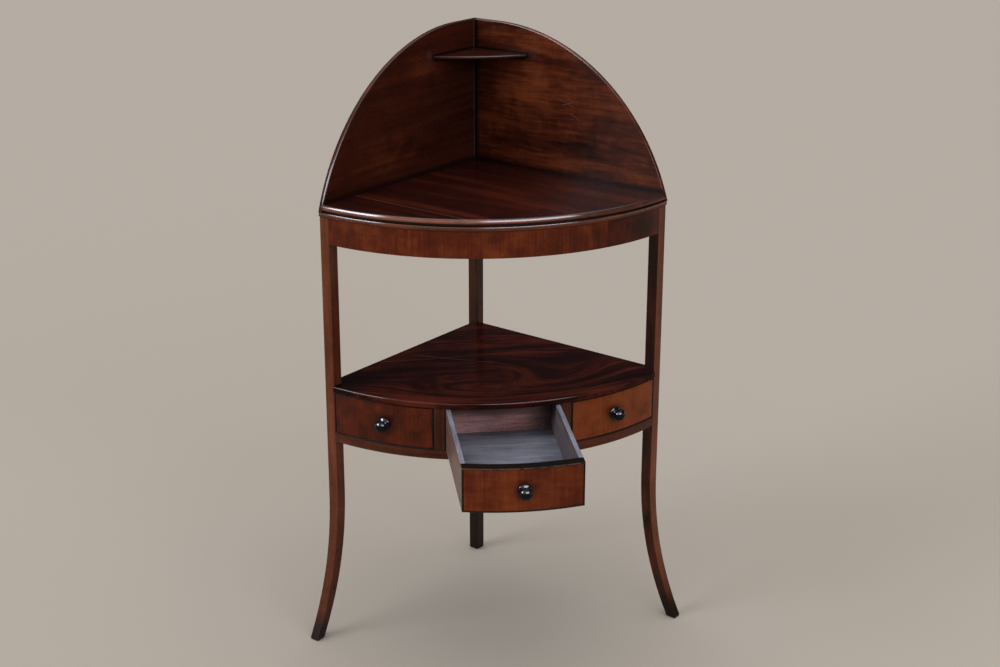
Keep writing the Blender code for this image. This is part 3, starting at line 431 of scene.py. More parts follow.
def build_old_polish(wiring, entry):
    """Smears, fine scratches and the slight waves of an old polish worked in by hand."""
    place = entry["Place"]
    x, y, z = wiring.split(place)
    scratches = []
    for cosine, sine in ((0.86, 0.50), (-0.42, 0.91)):
        along = wiring.total(wiring.times(x, cosine), wiring.times(z, sine))
        across = wiring.total(wiring.times(z, cosine), wiring.times(x, -sine))
        field = wiring.stretched(wiring.joined(along, across, y), (38.0, 950.0, 120.0))
        scratches.append(wiring.slope(wiring.noise(field, 0.0), 0.74, 0.80))
    patches = wiring.slope(wiring.cloud(place, 19.0), 0.52, 0.68)
    return {
        "Smear": wiring.cloud(place, 13.0, 4.0, 0.62),
        "Scratch": wiring.times(wiring.largest(*scratches), patches),
        "Ripple": wiring.cloud(place, 420.0, 1.0),
        "Wave": wiring.cloud(place, 38.0, 1.0),
    }


def build_worn_arris(wiring, entry):
    """Where an arris has lost its colour: broken up along its length."""
    knocks = wiring.cloud(entry["Place"], 95.0, 3.0, 0.65)
    worn = wiring.slope(wiring.total(knocks, entry["Amount"]), 0.80, 1.00)
    return {"Worn": wiring.times(worn, entry["Edge"])}


# Each shared effect: what builds it, its inputs with their usual values, and its outputs
shared_effects = {
    "Wood Figure": (
        build_wood_figure,
        {
            "Grain": (0.0, 0.0, 0.0),
            "Figure Scale": (6.0, 24.0, 24.0),
            "Streak Scale": (7.0, 220.0, 220.0),
            "Waver": 0.02,
        },
        ("Figure", "Streak", "Fine", "Pore", "Mottle"),
    ),
    "Old Polish": (
        build_old_polish,
        {"Place": (0.0, 0.0, 0.0)},
        ("Smear", "Scratch", "Ripple", "Wave"),
    ),
    "Worn Arris": (
        build_worn_arris,
        {"Place": (0.0, 0.0, 0.0), "Edge": 0.0, "Amount": 0.35},
        ("Worn",),
    ),
}


def node_group(name):
    """One of the shared effects as a shader node group with named sockets, built once."""
    if name in bpy.data.node_groups:
        return bpy.data.node_groups[name]
    build, inputs, outputs = shared_effects[name]
    tree = bpy.data.node_groups.new(name, "ShaderNodeTree")
    for label, default in inputs.items():
        kind = "NodeSocketVector" if isinstance(default, tuple) else "NodeSocketFloat"
        socket = tree.interface.new_socket(name=label, in_out="INPUT", socket_type=kind)
        socket.default_value = default
    for label in outputs:
        tree.interface.new_socket(name=label, in_out="OUTPUT", socket_type="NodeSocketFloat")
    wiring = Wiring(tree)
    results = build(wiring, wiring.node("NodeGroupInput").outputs)
    leaving = wiring.node("NodeGroupOutput")
    for label in outputs:
        wiring.feed(leaving.inputs[label], results[label])
    return tree


# Dirt, specks, wear, and painted shade, shadow, highlight and sheen, each as a mask over the wood


def from_wall(wiring, place):
    """How far a point is inward from the nearer wall."""
    x, y, _ = wiring.split(place)
    return wiring.times(wiring.less(corner_y, y, wiring.math("ABSOLUTE", x)), 1 / root_two)


def on_front(wiring, place):
    """1 on the front faces of the arched panels, 0 on their backs."""
    return wiring.slope(from_wall(wiring, place), panel_thickness - 0.0030, panel_thickness - 0.0012)


def on_panel(x, z):
    """A place on the front face of an arched panel."""
    return (x, panel_face_y - abs(x), z)


def line_mask(wiring, place, start, end, half_width, amount, softness=2.0):
    """A mask along a straight line between two places, fading out at its ends."""
    first = Vector(start)
    run = Vector(end) - first
    from_start = wiring.vector_math("SUBTRACT", place, tuple(first))
    along = wiring.vector_math("DOT_PRODUCT", from_start, tuple(run / run.length_squared))
    nearest = wiring.vector_math("SCALE", tuple(run), along)
    away = wiring.vector_math("LENGTH", wiring.vector_math("SUBTRACT", from_start, nearest))
    across = wiring.fade(away, half_width, half_width * softness, amount)
    return wiring.times(across, wiring.slope(along, 0.0, 0.12), wiring.fade(along, 0.85, 1.0))


def inner_corner_dirt_and_shade(wiring, place):
    """Dirt and painted shade where the panels meet each other, the top and the soap shelf."""
    x, _, z = wiring.split(place)
    reach = wiring.math("ABSOLUTE", x)
    corner = wiring.times(wiring.fade(reach, 0.0005, 0.009), wiring.slope(x, -0.0012, -0.0004))
    foot = wiring.fade(z, top_surface + 0.001, top_surface + 0.012, 0.8)
    shelf_line = wiring.times(
        wiring.fade(z, shelf_top + 0.0005, shelf_top + 0.006),
        wiring.slope(z, shelf_base - 0.010, shelf_base - 0.001),
        wiring.fade(reach, 0.080, 0.096),
    )
    return wiring.times(wiring.largest(corner, foot, shelf_line), on_front(wiring, place))


def corner_line_and_tip_sheen(wiring, place):
    """A broken dull grey line beside the corner, and faint painted sheen round the tips of the shelf."""
    x = wiring.split(place)[0]
    breaks = wiring.slope(wiring.noise(wiring.stretched(place, (0.0, 0.0, 46.0))), 0.30, 0.60)
    marks = [wiring.times(wiring.fade(wiring.away(x, -0.0022), 0.0004, 0.0016, 0.30), breaks)]
    ragged = wiring.slope(wiring.cloud(place, 150.0, 3.0), 0.35, 0.65)
    for side in (LEFT, RIGHT):
        tip = wiring.spot(place, on_panel(side * 0.094, shelf_top + 0.004), (0.012, 0.012, 0.016))
        marks.append(wiring.times(tip, ragged, 0.16))
    return wiring.times(wiring.largest(*marks), on_front(wiring, place))


def panel_shadow(wiring, place):
    """A soft dark streak that falls across the left panel."""
    start = on_panel(-0.235, 0.985)
    end = on_panel(-0.010, 0.990)
    return wiring.times(line_mask(wiring, place, start, end, 0.003, 0.30, 5.0), on_front(wiring, place))


def scuffs(wiring, place):
    """A few pale scratches on the right panel."""
    masks = []
    for start, end in (
        (on_panel(0.134, 0.957), on_panel(0.164, 0.943)),
        (on_panel(0.140, 0.945), on_panel(0.160, 0.955)),
        (on_panel(0.153, 0.934), on_panel(0.169, 0.922)),
    ):
        masks.append(line_mask(wiring, place, start, end, 0.0004, 0.36))
    return wiring.largest(*masks)


def shelf_dirt_and_shade(wiring, place):
    """Dirt and painted shade at the back of the soap shelf, where it meets the panels."""
    return wiring.fade(from_wall(wiring, place), panel_thickness, panel_thickness + 0.009, 0.9)


def top_edge_dirt_and_shade(wiring, place):
    """Dirt and painted shade on the top where the panels stand on it, and painted shade in the quirk under
    the bull nose.
    """
    by_panel = wiring.fade(from_wall(wiring, place), panel_thickness, panel_thickness + 0.012, 0.8)
    quirk = wiring.fade(wiring.split(place)[2], top_base + 0.0042, top_base + 0.0058, 0.95)
    return wiring.largest(by_panel, quirk)


def top_seam(wiring, place):
    """The pale glue line between the two top boards."""
    x, y, _ = wiring.split(place)
    along = wiring.times(wiring.less(corner_y, y, x), 1 / root_two)
    return wiring.fade(wiring.away(along, top_seam_along), 0.0004, 0.0013, 0.42)


def nose_rub_and_highlight(wiring, place):
    """A painted highlight along the front of the bull nose, given as coppery worn wood, most on the left."""
    x, _, z = wiring.split(place)
    front = wiring.fade(wiring.away(z, top_surface - 0.0046), 0.0014, 0.0042)
    uneven = wiring.slope(wiring.noise(wiring.stretched(place, (30.0, 30.0, 0.0))), 0.2, 0.6, 0.6)
    return wiring.times(wiring.attribute("edge"), front, uneven, wiring.slope(x, 0.02, 0.20, 0.62, 0.22))


def deck_dirt_and_shade(wiring, place):
    """Darker round the left post, and painted shade in a thin line along the walls' side of the deck."""
    rim = wiring.fade(from_wall(wiring, place), 0.001, 0.008, 0.75)
    post = wiring.spot(place, (-0.285, -0.275, deck_top), (0.115, 0.090, 0.05))
    return wiring.largest(rim, wiring.times(post, 0.88))


def deck_crack(wiring, place):
    """The pale upper lip of an old scratch behind the deck's middle."""
    return line_mask(wiring, place, (-0.145, -0.160, deck_top), (0.044, -0.237, deck_top), 0.0005, 0.30, 3.0)


def deck_crack_shadow(wiring, place):
    """The dark line in front of the scratch."""
    return line_mask(wiring, place, (-0.150, -0.163, deck_top), (0.040, -0.240, deck_top), 0.0013, 0.85, 3.0)


def deck_swirl(wiring, place, grain):
    """Bend the deck's grain into a tongue that closes on the right."""
    x, y, _ = wiring.split(place)
    out_x = wiring.less(x, swirl_place[0])
    out_x = wiring.largest(wiring.times(out_x, 0.80), wiring.times(out_x, -0.12))
    out_y = wiring.less(y, swirl_place[1])
    ring = wiring.vector_math("LENGTH", wiring.joined(out_x, out_y, 0.0))
    moved = wiring.times(wiring.less(ring, out_y), wiring.spot(place, swirl_place, swirl_reach))
    return wiring.vector_math("ADD", grain, wiring.joined(0.0, moved, 0.0))


def knob_dirt_and_shadow(wiring, place):
    """The dark ring round each knob: hand dirt, and a painted shadow of the knob."""
    low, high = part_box("drawer_knob")
    middle = (low.z + high.z) / 2
    places = [arc_point(bow_radius, knob_angle(side), middle) for side in (LEFT, RIGHT)]
    places.append((0.0, high.y - knob_dowel_length, middle))
    halos = [wiring.spot(place, centre, (0.030, 0.030, 0.026)) for centre in places]
    return wiring.times(wiring.largest(*halos), 0.80)


def inner_wood(wiring, place):
    """The bare wood on the inside of the drawer's front."""
    return wiring.attribute("inside")


def frame_dirt_and_shade(wiring, place):
    """The feet and the rear leg are nearly black low down, the legs darker low down; painted shade lies in a
    line under the bead board.
    """
    _, y, z = wiring.split(place)
    feet = wiring.largest(wiring.fade(z, 0.014, 0.080, 0.95), wiring.fade(z, 0.05, 0.36, 0.36))
    rear_leg = wiring.times(wiring.slope(y, -0.06, -0.04), wiring.fade(z, 0.20, 0.60, 0.80))
    under_bead = wiring.fade(wiring.away(z, under_top_base), 0.0004, 0.0014, 0.90)
    return wiring.largest(feet, rear_leg, under_bead)


def back_dust(wiring, place):
    """Pale specks low down on the drawer's back."""
    x, _, z = wiring.split(place)
    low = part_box("drawer_bottom")[1].z
    near_foot = wiring.slope(z, low + 0.003, low + 0.030, 1.0, 0.12)
    to_left = wiring.slope(x, -0.085, 0.050, 1.0, 0.35)
    specks = wiring.slope(wiring.noise(wiring.stretched(place, (190.0, 190.0, 420.0))), 0.58, 0.66)
    return wiring.times(near_foot, to_left, specks, 0.9)


def back_shadow(wiring, place):
    """Painted shadow: the drawer's back is dark along its top and at its right end."""
    x, _, z = wiring.split(place)
    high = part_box("drawer_back")[1].z
    along_top = wiring.slope(z, high - 0.034, high - 0.006, 0.0, 0.88)
    return wiring.largest(along_top, wiring.slope(x, 0.020, 0.090, 0.0, 0.90))


def drawer_floor_shadow(wiring, place):
    """Painted shadow: the drawer's floor is darker in its right rear corner and along its back."""
    _, y, z = wiring.split(place)
    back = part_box("drawer_back")[0]
    corner = wiring.spot(place, (0.088, back.y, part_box("drawer_bottom")[1].z), (0.085, 0.060, 0.05))
    along_back = wiring.slope(y, back.y - 0.030, back.y, 0.0, 0.40)
    inside = wiring.fade(z, back.z, back.z + 0.006)
    return wiring.times(wiring.largest(wiring.times(corner, 0.60), along_back), inside)


# Finishes


def new_finish(name, roughness, metallic=0.0):
    """A material with its shader, and the wiring to add to it."""
    material = bpy.data.materials.new(name)
    material.use_nodes = True
    shader = material.node_tree.nodes["Principled BSDF"]
    shader.location = (2900, 0)
    material.node_tree.nodes["Material Output"].location = (3200, 0)
    wiring = Wiring(material.node_tree)
    wiring.fill(shader, Roughness=roughness, Metallic=metallic)
    return material, wiring, shader


class Mahogany:
    """What one polished mahogany finish is made of; scales are along and across the grain.

    Patches are soft lighter or darker places: centre, reach and amount. Each mark is a mask
    with the colour that it lays over the wood, such as dirt or painted shade. Bend moves the grain.
    """

    level = 0.0
    figure = 0.9
    figure_scale = (6.0, 24.0)
    streak = 0.5
    streak_scale = (7.0, 220.0)
    waver = 0.02
    mottle = 0.25
    fine = 0.3
    pore = 0.45
    roughness = 0.20
    gloss = 0.30
    wear = 0.30
    scratch = 0.0
    relief = 0.35
    patches = ()
    marks = ()
    bend = None

    def __init__(self, name, palette, **settings):
        self.name = name
        self.palette = palette
        for label, value in settings.items():
            setattr(self, label, value)


top_wood = Mahogany(
    "top_mahogany", "top",
    level=-0.05, figure=0.55, figure_scale=(2.2, 20.0), streak=0.34, streak_scale=(3.2, 62.0),
    mottle=0.04, fine=0.04, pore=0.10, roughness=0.17, wear=0.05, relief=0.15,
    patches=(
        ((0.0, -0.370, top_surface), (0.26, 0.10, 0.05), 0.12),
        ((0.0, -0.180, top_surface), (0.15, 0.10, 0.05), -0.10),
    ),
    marks=((top_seam, "worn"), (nose_rub_and_highlight, "rubbed"), (top_edge_dirt_and_shade, "grime")),
)

# Redder in front on the left, with a swirl and an old scratch
deck_wood = Mahogany(
    "deck_mahogany", "top",
    level=0.07, figure=0.78, figure_scale=(4.0, 20.0), streak=0.62, streak_scale=(5.0, 110.0),
    waver=0.05, mottle=0.12, fine=0.12, pore=0.15, roughness=0.17, gloss=0.05, wear=0.05, relief=0.08,
    patches=(((-0.090, -0.360, deck_top), (0.19, 0.09, 0.05), 0.16),),
    marks=((deck_dirt_and_shade, "grime"), (deck_crack_shadow, "grime"), (deck_crack, "worn")),
    bend=deck_swirl,
)

# The right panel has orange places and a few scratches
right_splash_wood = Mahogany(
    "splash_right_mahogany", "splash",
    level=0.06, figure=0.60, figure_scale=(5.0, 24.0), streak=0.50, streak_scale=(12.0, 130.0),
    waver=0.03, mottle=0.26, fine=0.26, pore=0.30, roughness=0.22, gloss=0.24, wear=0.12, scratch=0.05,
    patches=(
        ((0.120, -0.120, 0.962), (0.180, 0.180, 0.060), 0.22),
        ((0.060, -0.060, 0.945), (0.070, 0.070, 0.040), 0.16),
        ((0.110, -0.110, 1.062), (0.095, 0.095, 0.040), 0.36),
        ((0.200, -0.200, 0.876), (0.110, 0.110, 0.055), -0.24),
    ),
    marks=((inner_corner_dirt_and_shade, "grime"), (corner_line_and_tip_sheen, "dust"), (scuffs, "worn")),
)

# The left panel is darker and calmer, with a painted sheen that makes it lighter low down; the soap shelf is
# of the same wood
calm_wood = {
    "level": -0.11, "figure": 0.36, "figure_scale": (3.0, 12.0), "streak": 0.26,
    "streak_scale": (6.0, 90.0), "waver": 0.03, "mottle": 0.12, "fine": 0.10, "pore": 0.25,
    "roughness": 0.22, "gloss": 0.24, "wear": 0.12,
}
left_splash_wood = Mahogany(
    "splash_left_mahogany", "splash", **calm_wood,
    patches=(
        # Painted sheen: the lighter place low on the left panel
        ((-0.160, -0.160, 0.882), (0.130, 0.130, 0.055), 0.24),
        ((-0.100, -0.100, 1.000), (0.110, 0.110, 0.045), 0.14),
    ),
    marks=((panel_shadow, "grime"), (inner_corner_dirt_and_shade, "grime"), (corner_line_and_tip_sheen, "dust")),
)
shelf_wood = Mahogany("shelf_mahogany", "splash", **calm_wood, marks=((shelf_dirt_and_shade, "grime"),))

veneer_wood = Mahogany(
    "veneer_mahogany", "veneer",
    figure=0.36, figure_scale=(16.0, 26.0), streak=0.22, streak_scale=(7.0, 260.0), waver=0.010,
    mottle=0.36, fine=0.18, pore=0.35, roughness=0.25, gloss=0.18, wear=0.06,
    marks=((knob_dirt_and_shadow, "grime"), (inner_wood, "lining_warm_dark")),
)

# The right leg is lighter low down
frame_wood = Mahogany(
    "frame_mahogany", "frame",
    figure=0.34, figure_scale=(6.0, 40.0), streak=0.22, streak_scale=(7.0, 330.0), waver=0.006,
    mottle=0.12, fine=0.20, roughness=0.27, gloss=0.22, wear=0.16,
    patches=(((0.315, -0.305, 0.200), (0.09, 0.09, 0.20), 0.28),),
    marks=((frame_dirt_and_shade, "grime"),),
)


def mahogany(kind):
    """The material of one polished mahogany finish."""
    if kind.name in bpy.data.materials:
        return bpy.data.materials[kind.name]
    material, wiring, shader = new_finish(kind.name, kind.roughness)
    place = wiring.place()
    grain = wiring.attribute("grain", part="Vector")
    if kind.bend is not None:
        grain = kind.bend(wiring, place, grain)
    figure = wiring.group(
        "Wood Figure",
        Grain=grain,
        Figure_Scale=with_grain(*kind.figure_scale),
        Streak_Scale=with_grain(*kind.streak_scale),
        Waver=kind.waver,
    )
    polish = wiring.group("Old Polish", Place=place)
    tone = wiring.total(
        0.5 + kind.level,
        wiring.times(wiring.less(figure["Figure"], 0.5), kind.figure * 2),
        wiring.times(wiring.less(figure["Streak"], 0.5), kind.streak * 2),
        wiring.times(wiring.less(figure["Mottle"], 0.5), kind.mottle * 2),
        wiring.times(wiring.less(figure["Fine"], 0.5), kind.fine),
        wiring.attribute("tone", kind="OBJECT"),
        wiring.attribute("shade"),
    )
    for centre, reach, amount in kind.patches:
        ragged = wiring.slope(wiring.cloud(place, 21.0), 0.25, 0.6)
        tone = wiring.total(tone, wiring.times(wiring.spot(place, centre, reach), ragged, amount))
    base = wiring.ramp(tone, (
        (0.12, colour(kind.palette + "_deep")),
        (0.50, colour(kind.palette + "_middle")),
        (0.92, colour(kind.palette + "_bright")),
    ))
    scratch = wiring.times(polish["Scratch"], kind.scratch)
    worn = wiring.worn(place, kind.wear)
    base = wiring.mix(wiring.times(figure["Pore"], kind.pore), base, colour("grime"))
    base = wiring.mix(scratch, base, colour("worn"))
    base = wiring.mix(wiring.times(worn, 0.55), base, colour("worn"))
    height = wiring.total(
        wiring.times(figure["Pore"], -0.10),
        wiring.times(figure["Fine"], 0.10),
        wiring.times(polish["Ripple"], 0.08),
        wiring.times(polish["Wave"], 1.6),
        wiring.times(scratch, -1.0),
    )
    wiring.fill(
        shader,
        Base_Color=wiring.marked(base, place, kind.marks),
        Roughness=wiring.total(
            kind.roughness - 0.05,
            wiring.times(polish["Smear"], 0.12),
            wiring.times(figure["Pore"], 0.12),
            scratch,
            wiring.times(worn, 0.15),
        ),
        Normal=wiring.bump(height, kind.relief, 0.0002),
        Specular_IOR_Level=kind.gloss,
        Specular_Tint=colour("polish"),
        Coat_Weight=wiring.attribute("gloss"),
        Coat_IOR=coat_ior,
        Coat_Roughness=mahogany_coat_roughness,
    )
    return material


def ebony_finish(name, roughness, gloss, dark, streaked):
    """Black wood with streaks of a second colour, brown where it is rubbed."""
    if name in bpy.data.materials:
        return bpy.data.materials[name]
    material, wiring, shader = new_finish(name, roughness)
    place = wiring.place()
    polish = wiring.group("Old Polish", Place=place)
    figure = wiring.group("Wood Figure", Grain=wiring.attribute("grain", part="Vector"))
    # Black wood with streaks of a second colour, brown where it is worn.
    worn = wiring.worn(place, wiring.total(wiring.attribute("tone", kind="OBJECT"), 0.20))
    base = wiring.mix(wiring.slope(figure["Streak"], 0.45, 0.8), colour(dark), colour(streaked))
    height = wiring.total(wiring.times(figure["Pore"], -0.3), wiring.times(polish["Ripple"], 0.3))
    wiring.fill(
        shader,
        Base_Color=wiring.mix(wiring.times(worn, 0.55), base, colour("worn")),
        Roughness=wiring.total(
            roughness - 0.05,
            wiring.times(polish["Smear"], 0.10),
            wiring.times(worn, 0.2),
        ),
        Normal=wiring.bump(height, 0.25, 0.0001),
        Specular_IOR_Level=gloss,
        Coat_Weight=wiring.attribute("gloss"),
        Coat_IOR=coat_ior,
        Coat_Roughness=ebony_coat_roughness,
    )
    return material


def bead_finish():
    """The thin black beads, dulled by age."""
    return ebony_finish("ebonised_beads", 0.32, 0.14, "black", "frame_deep")


def knob_finish():
    """The turned black knobs, bright where hands polish them."""
    return ebony_finish("ebonised_knobs", 0.14, 0.12, "knob_black", "black")


def dry_wood(name, palette, roughness, pore=0.5, outside=None, marks=()):
    """Unpolished wood: open grain, stains and pale specks.

    Outside names the colours of faces marked as warm. Each mark is a mask with the colour
    that it lays over the wood, such as pale specks or painted shadow.
    """
    if name in bpy.data.materials:
        return bpy.data.materials[name]
    material, wiring, shader = new_finish(name, roughness)
    place = wiring.place()
    figure = wiring.group(
        "Wood Figure",
        Grain=wiring.attribute("grain", part="Vector"),
        Figure_Scale=with_grain(7.0, 34.0),
        Streak_Scale=with_grain(8.0, 260.0),
        Waver=0.012,
    )
    stain = wiring.cloud(place, 11.0, 4.0)
    tone = wiring.total(
        wiring.times(figure["Figure"], 0.7),
        wiring.times(figure["Streak"], 0.55),
        wiring.times(figure["Fine"], 0.35),
        wiring.times(stain, 0.6),
        wiring.attribute("tone", kind="OBJECT"),
        wiring.attribute("shade"),
    )
    pale = wiring.slope(tone, 0.75, 1.45)
    base = wiring.mix(pale, colour(palette + "_dark"), colour(palette))
    if outside is not None:
        warm = wiring.mix(pale, colour(outside + "_dark"), colour(outside))
        base = wiring.mix(wiring.attribute("warm"), base, warm)
    base = wiring.mix(wiring.times(figure["Pore"], pore), base, colour("grime"))
    base = wiring.marked(base, place, marks)
    height = wiring.total(
        wiring.times(figure["Pore"], -0.8),
        wiring.times(figure["Fine"], 0.7),
        wiring.times(figure["Streak"], 0.5),
    )
    wiring.fill(
        shader,
        Base_Color=wiring.mix(wiring.times(wiring.worn(place, 0.42), 0.35), base, colour("worn")),
        Roughness=wiring.total(roughness - 0.1, wiring.times(stain, 0.2)),
        Normal=wiring.bump(height, 0.6, 0.0004),
    )
    return material


def lining_finish():
    """The grey wood of the drawer's sides and floor, warmer outside."""
    marks = ((drawer_floor_shadow, "grime"),)
    return dry_wood("drawer_lining_grey", "lining", 0.50, outside="lining_warm", marks=marks)


def red_lining_finish():
    """The redder wood of the drawer's back."""
    marks = ((back_shadow, "grime"), (back_dust, "lining_pale"))
    return dry_wood("drawer_lining_brown", "lining_red", 0.60, marks=marks)


def pine_finish():
    """The bare pine of the carcass."""
    return dry_wood("carcass_pine", "pine", 0.80, pore=0.25)


def steel_finish():
    """The old steel of the screws."""
    name = "old_steel"
    if name in bpy.data.materials:
        return bpy.data.materials[name]
    material, wiring, shader = new_finish(name, 0.42, metallic=1.0)
    rust = wiring.slope(wiring.cloud(wiring.place(), 700.0, 3.0), 0.45, 0.65)
    wiring.fill(
        shader,
        Base_Color=wiring.mix(rust, colour("steel"), colour("rust")),
        Roughness=wiring.total(0.36, wiring.times(rust, 0.4)),
        Metallic=wiring.slope(rust, 0.0, 1.0, 1.0, 0.1),
        Normal=wiring.bump(rust, 0.5, 0.0001),
    )
    return material


# The way that the grain runs: along it, across it and into the piece


def wall_terms(point, side):
    """How far a point is along one wall, and inward from it."""
    back = corner_y - point.y
    out = side * point.x
    return (back + out) / root_two, (back - out) / root_two


def grain_along_wall(side):
    """Grain level along one wall."""

    def measure(point):
        along, inward = wall_terms(point, side)
        return (along, point.z, inward)

    return measure


def grain_up_wall(side):
    """Grain upright in a piece that stands square to one wall."""

    def measure(point):
        return (point.z, *wall_terms(point, side))

    return measure


def grain_beside_right_wall(point):
    """Grain level, parallel to the right wall."""
    return (*wall_terms(point, RIGHT), point.z)


def bow_terms(point):
    """How far a point is round the bow, and its distance from the bow's centre."""
    x = point.x
    y = bow_y - point.y
    return bow_radius * math.atan2(x, y), math.hypot(x, y)


def grain_round_bow(point):
    """Grain level, following the bow."""
    arc, radius = bow_terms(point)
    return (arc, point.z, radius)


def grain_up_bow(point):
    """Grain upright on the bow, as veneer is laid."""
    return (point.z, *bow_terms(point))


def grain_level(point):
    """Grain from left to right."""
    return (point.x, point.y, point.z)


def grain_back(point):
    """Grain from front to back."""
    return (point.y, point.x, point.z)


# Meshes

piece_count = 0


def write_grain(mesh, measure):
    """Store each point's place in the grain on the mesh, in a stretch of grain of its own."""
    shift = Vector((0.83, 0.37, 0.59)) * piece_count
    layer = mesh.attributes.new("grain", "FLOAT_VECTOR", "POINT")
    for item, vertex in zip(layer.data, mesh.vertices):
        item.vector = Vector(measure(vertex.co)) + shift


def add_piece(shape, node, body, finish, measure, tone=0.0, smooth_angle=35.0):
    """Turn a bmesh into the piece that stands for one solid, with its finish and its body."""
    global piece_count
    piece_count += 1
    name = node + "_finished"
    mesh = bpy.data.meshes.new(name)
    shape.to_mesh(mesh)
    shape.free()
    mesh.shade_smooth()
    mesh.set_sharp_from_angle(angle=math.radians(smooth_angle))
    piece = bpy.data.objects.new(name, mesh)
    bpy.context.scene.collection.objects.link(piece)
    even = piece.modifiers.new("Even Shading", "WEIGHTED_NORMAL")
    even.keep_sharp = True
    even.weight = 80
    depsgraph = bpy.context.evaluated_depsgraph_get()
    finished = bpy.data.meshes.new_from_object(piece.evaluated_get(depsgraph))
    piece.modifiers.clear()
    piece.data = finished
    bpy.data.meshes.remove(mesh)
    finished.name = name
    write_grain(finished, measure)
    finished.materials.clear()
    finished.materials.append(finish)
    piece["tone"] = tone
    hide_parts(node)
    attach(piece, body)
    return piece


def copied(node):
    """A solid's mesh as a bmesh, with flat faces made whole."""
    shape = bmesh.new()
    shape.from_mesh(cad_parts[node].data)
    for layer in list(shape.loops.layers.uv):
        shape.loops.layers.uv.remove(layer)
    bmesh.ops.remove_doubles(shape, verts=shape.verts, dist=0.000005)
    bmesh.ops.dissolve_limit(
        shape, angle_limit=math.radians(0.25), verts=shape.verts[:], edges=shape.edges[:]
    )
    return shape


def ease(shape, width, steps=2, sharp=32.0, shortest=0.0014, choose=None):
    """Round the outer arrises of a shape, and mark the new faces as edge."""
    layer = shape.faces.layers.float.new("edge")
    chosen = []
    for edge in shape.edges:
        if len(edge.link_faces) != 2 or edge.calc_length() < shortest:
            continue
        if not edge.is_convex or edge.calc_face_angle() < math.radians(sharp):
            continue
        middle = (edge.verts[0].co + edge.verts[1].co) / 2
        if choose is None or choose(middle):
            chosen.append(edge)
    made = bmesh.ops.bevel(
        shape,
        geom=chosen,
        offset=width,
        offset_type="OFFSET",
        segments=steps,
        profile=0.5,
        affect="EDGES",
        clamp_overlap=False,
    )
    for face in made["faces"]:
        face[layer] = 1.0
    return shape


def dress(node, body, slot, finish, measure, tone=0.0, **easing):
    """Ease a solid's arrises, and add it as a piece."""
    return add_piece(ease(copied(node), **easing), node, body, finish, measure, tone)


def mark_faces(shape, name, value_of):
    """Store a number for each face, which the finishes read."""
    layer = shape.faces.layers.float.new(name)
    shape.normal_update()
    for face in shape.faces:
        face[layer] = value_of(face)
    return shape


def arc_point(radius, angle, z):
    """A point at an angle from straight ahead, about the bow's centre."""
    return (radius * math.sin(angle), bow_y - radius * math.cos(angle), z)


def bow_board(edge_profile, wall_inset):
    """A board with two straight sides along the walls and a moulded bowed front."""
    shape = bmesh.new()
    layer = shape.faces.layers.float.new("edge")
    steps = sizes().bow_steps
    rows = []
    for radius, z in edge_profile:
        end = math.pi / 4 - math.asin((wall_inset - bow_inset) / radius)
        angles = [-end + 2 * end * index / steps for index in range(steps + 1)]
        rows.append([shape.verts.new(arc_point(radius, angle, z)) for angle in angles])
    rear_y = corner_y - root_two * wall_inset
    rear_low = shape.verts.new((0, rear_y, edge_profile[0][1]))
    rear_high = shape.verts.new((0, rear_y, edge_profile[-1][1]))
    for row, following in zip(rows, rows[1:]):
        for place in range(steps):
            face = shape.faces.new((row[place], row[place + 1], following[place + 1], following[place]))
            face[layer] = 1.0
    shape.faces.new([rear_low] + rows[0][::-1])
    shape.faces.new([rear_high] + rows[-1])
    shape.faces.new([rear_low] + [row[0] for row in rows] + [rear_high])
    shape.faces.new([rear_high] + [row[-1] for row in rows][::-1] + [rear_low])
    bmesh.ops.recalc_face_normals(shape, faces=shape.faces)
    return shape


def arc_chain(arcs):
    """Points along arcs that follow each other, from the top edge down, as radius and height."""
    steps = sizes().nose_steps // 2
    points = [(0.0, 0.0)]
    for start, end, size in arcs:
        radius, height = points[-1]
        centre_radius = radius - size * math.cos(math.radians(start))
        centre_height = height - size * math.sin(math.radians(start))
        for index in range(1, steps + 1):
            angle = math.radians(start + (end - start) * index / steps)
            points.append((centre_radius + size * math.cos(angle), centre_height + size * math.sin(angle)))
    return points


def moulded_edge(overhang, base, top, arcs, below):
    """A board's bowed edge from its base up: the points below the arcs, then the arcs."""
    chain = arc_chain(arcs)
    outer = bow_radius + overhang - max(radius for radius, height in chain)
    edge = [(outer + radius, top + height) for radius, height in chain]
    edge += below(*edge[-1], base)
    return edge[::-1]


def quirk_below(radius, height, base):
    """A deep dark groove between the bull nose and the bead."""
    inner = bow_radius - top_quirk_inset
    return [(inner, height), (inner, base)]


def round_below(radius, height, base):
    """An upright face with a small rounding at the bottom."""
    points = []
    for degrees in (0, -30, -60, -90):
        angle = math.radians(degrees)
        across = radius + deck_lower_round * (math.cos(angle) - 1)
        points.append((across, base + deck_lower_round * (1 + math.sin(angle))))
    return points


def flat_below(radius, height, base):
    """Nothing but the rest of the way to the base."""
    return [(radius, base)]


def between(value, start, end, low, high):
    """From low to high, while the value goes from start to end."""
    share = min(max((value - start) / (end - start), 0.0), 1.0)
    return low + (high - low) * share


def full_gloss(middle):
    """As bright as new polish."""
    return 1.0


def nose_gloss(middle):
    """The bull nose is a little less bright than new polish."""
    return nose_brightness


def lip_gloss(middle):
    """The deck's lip is dull at its right end."""
    return between(middle.x, 0.16, 0.11, 0.10, 0.50)


def left_arch_gloss(middle):
    """The left arch is bright only low down."""
    return between(middle.z, 0.955, 0.855, 0.08, 1.0)


def right_arch_gloss(middle):
    """The right arch is bright on its shoulder and dull below it."""
    return between(middle.z, 0.98, 1.03, 0.10, 0.40)


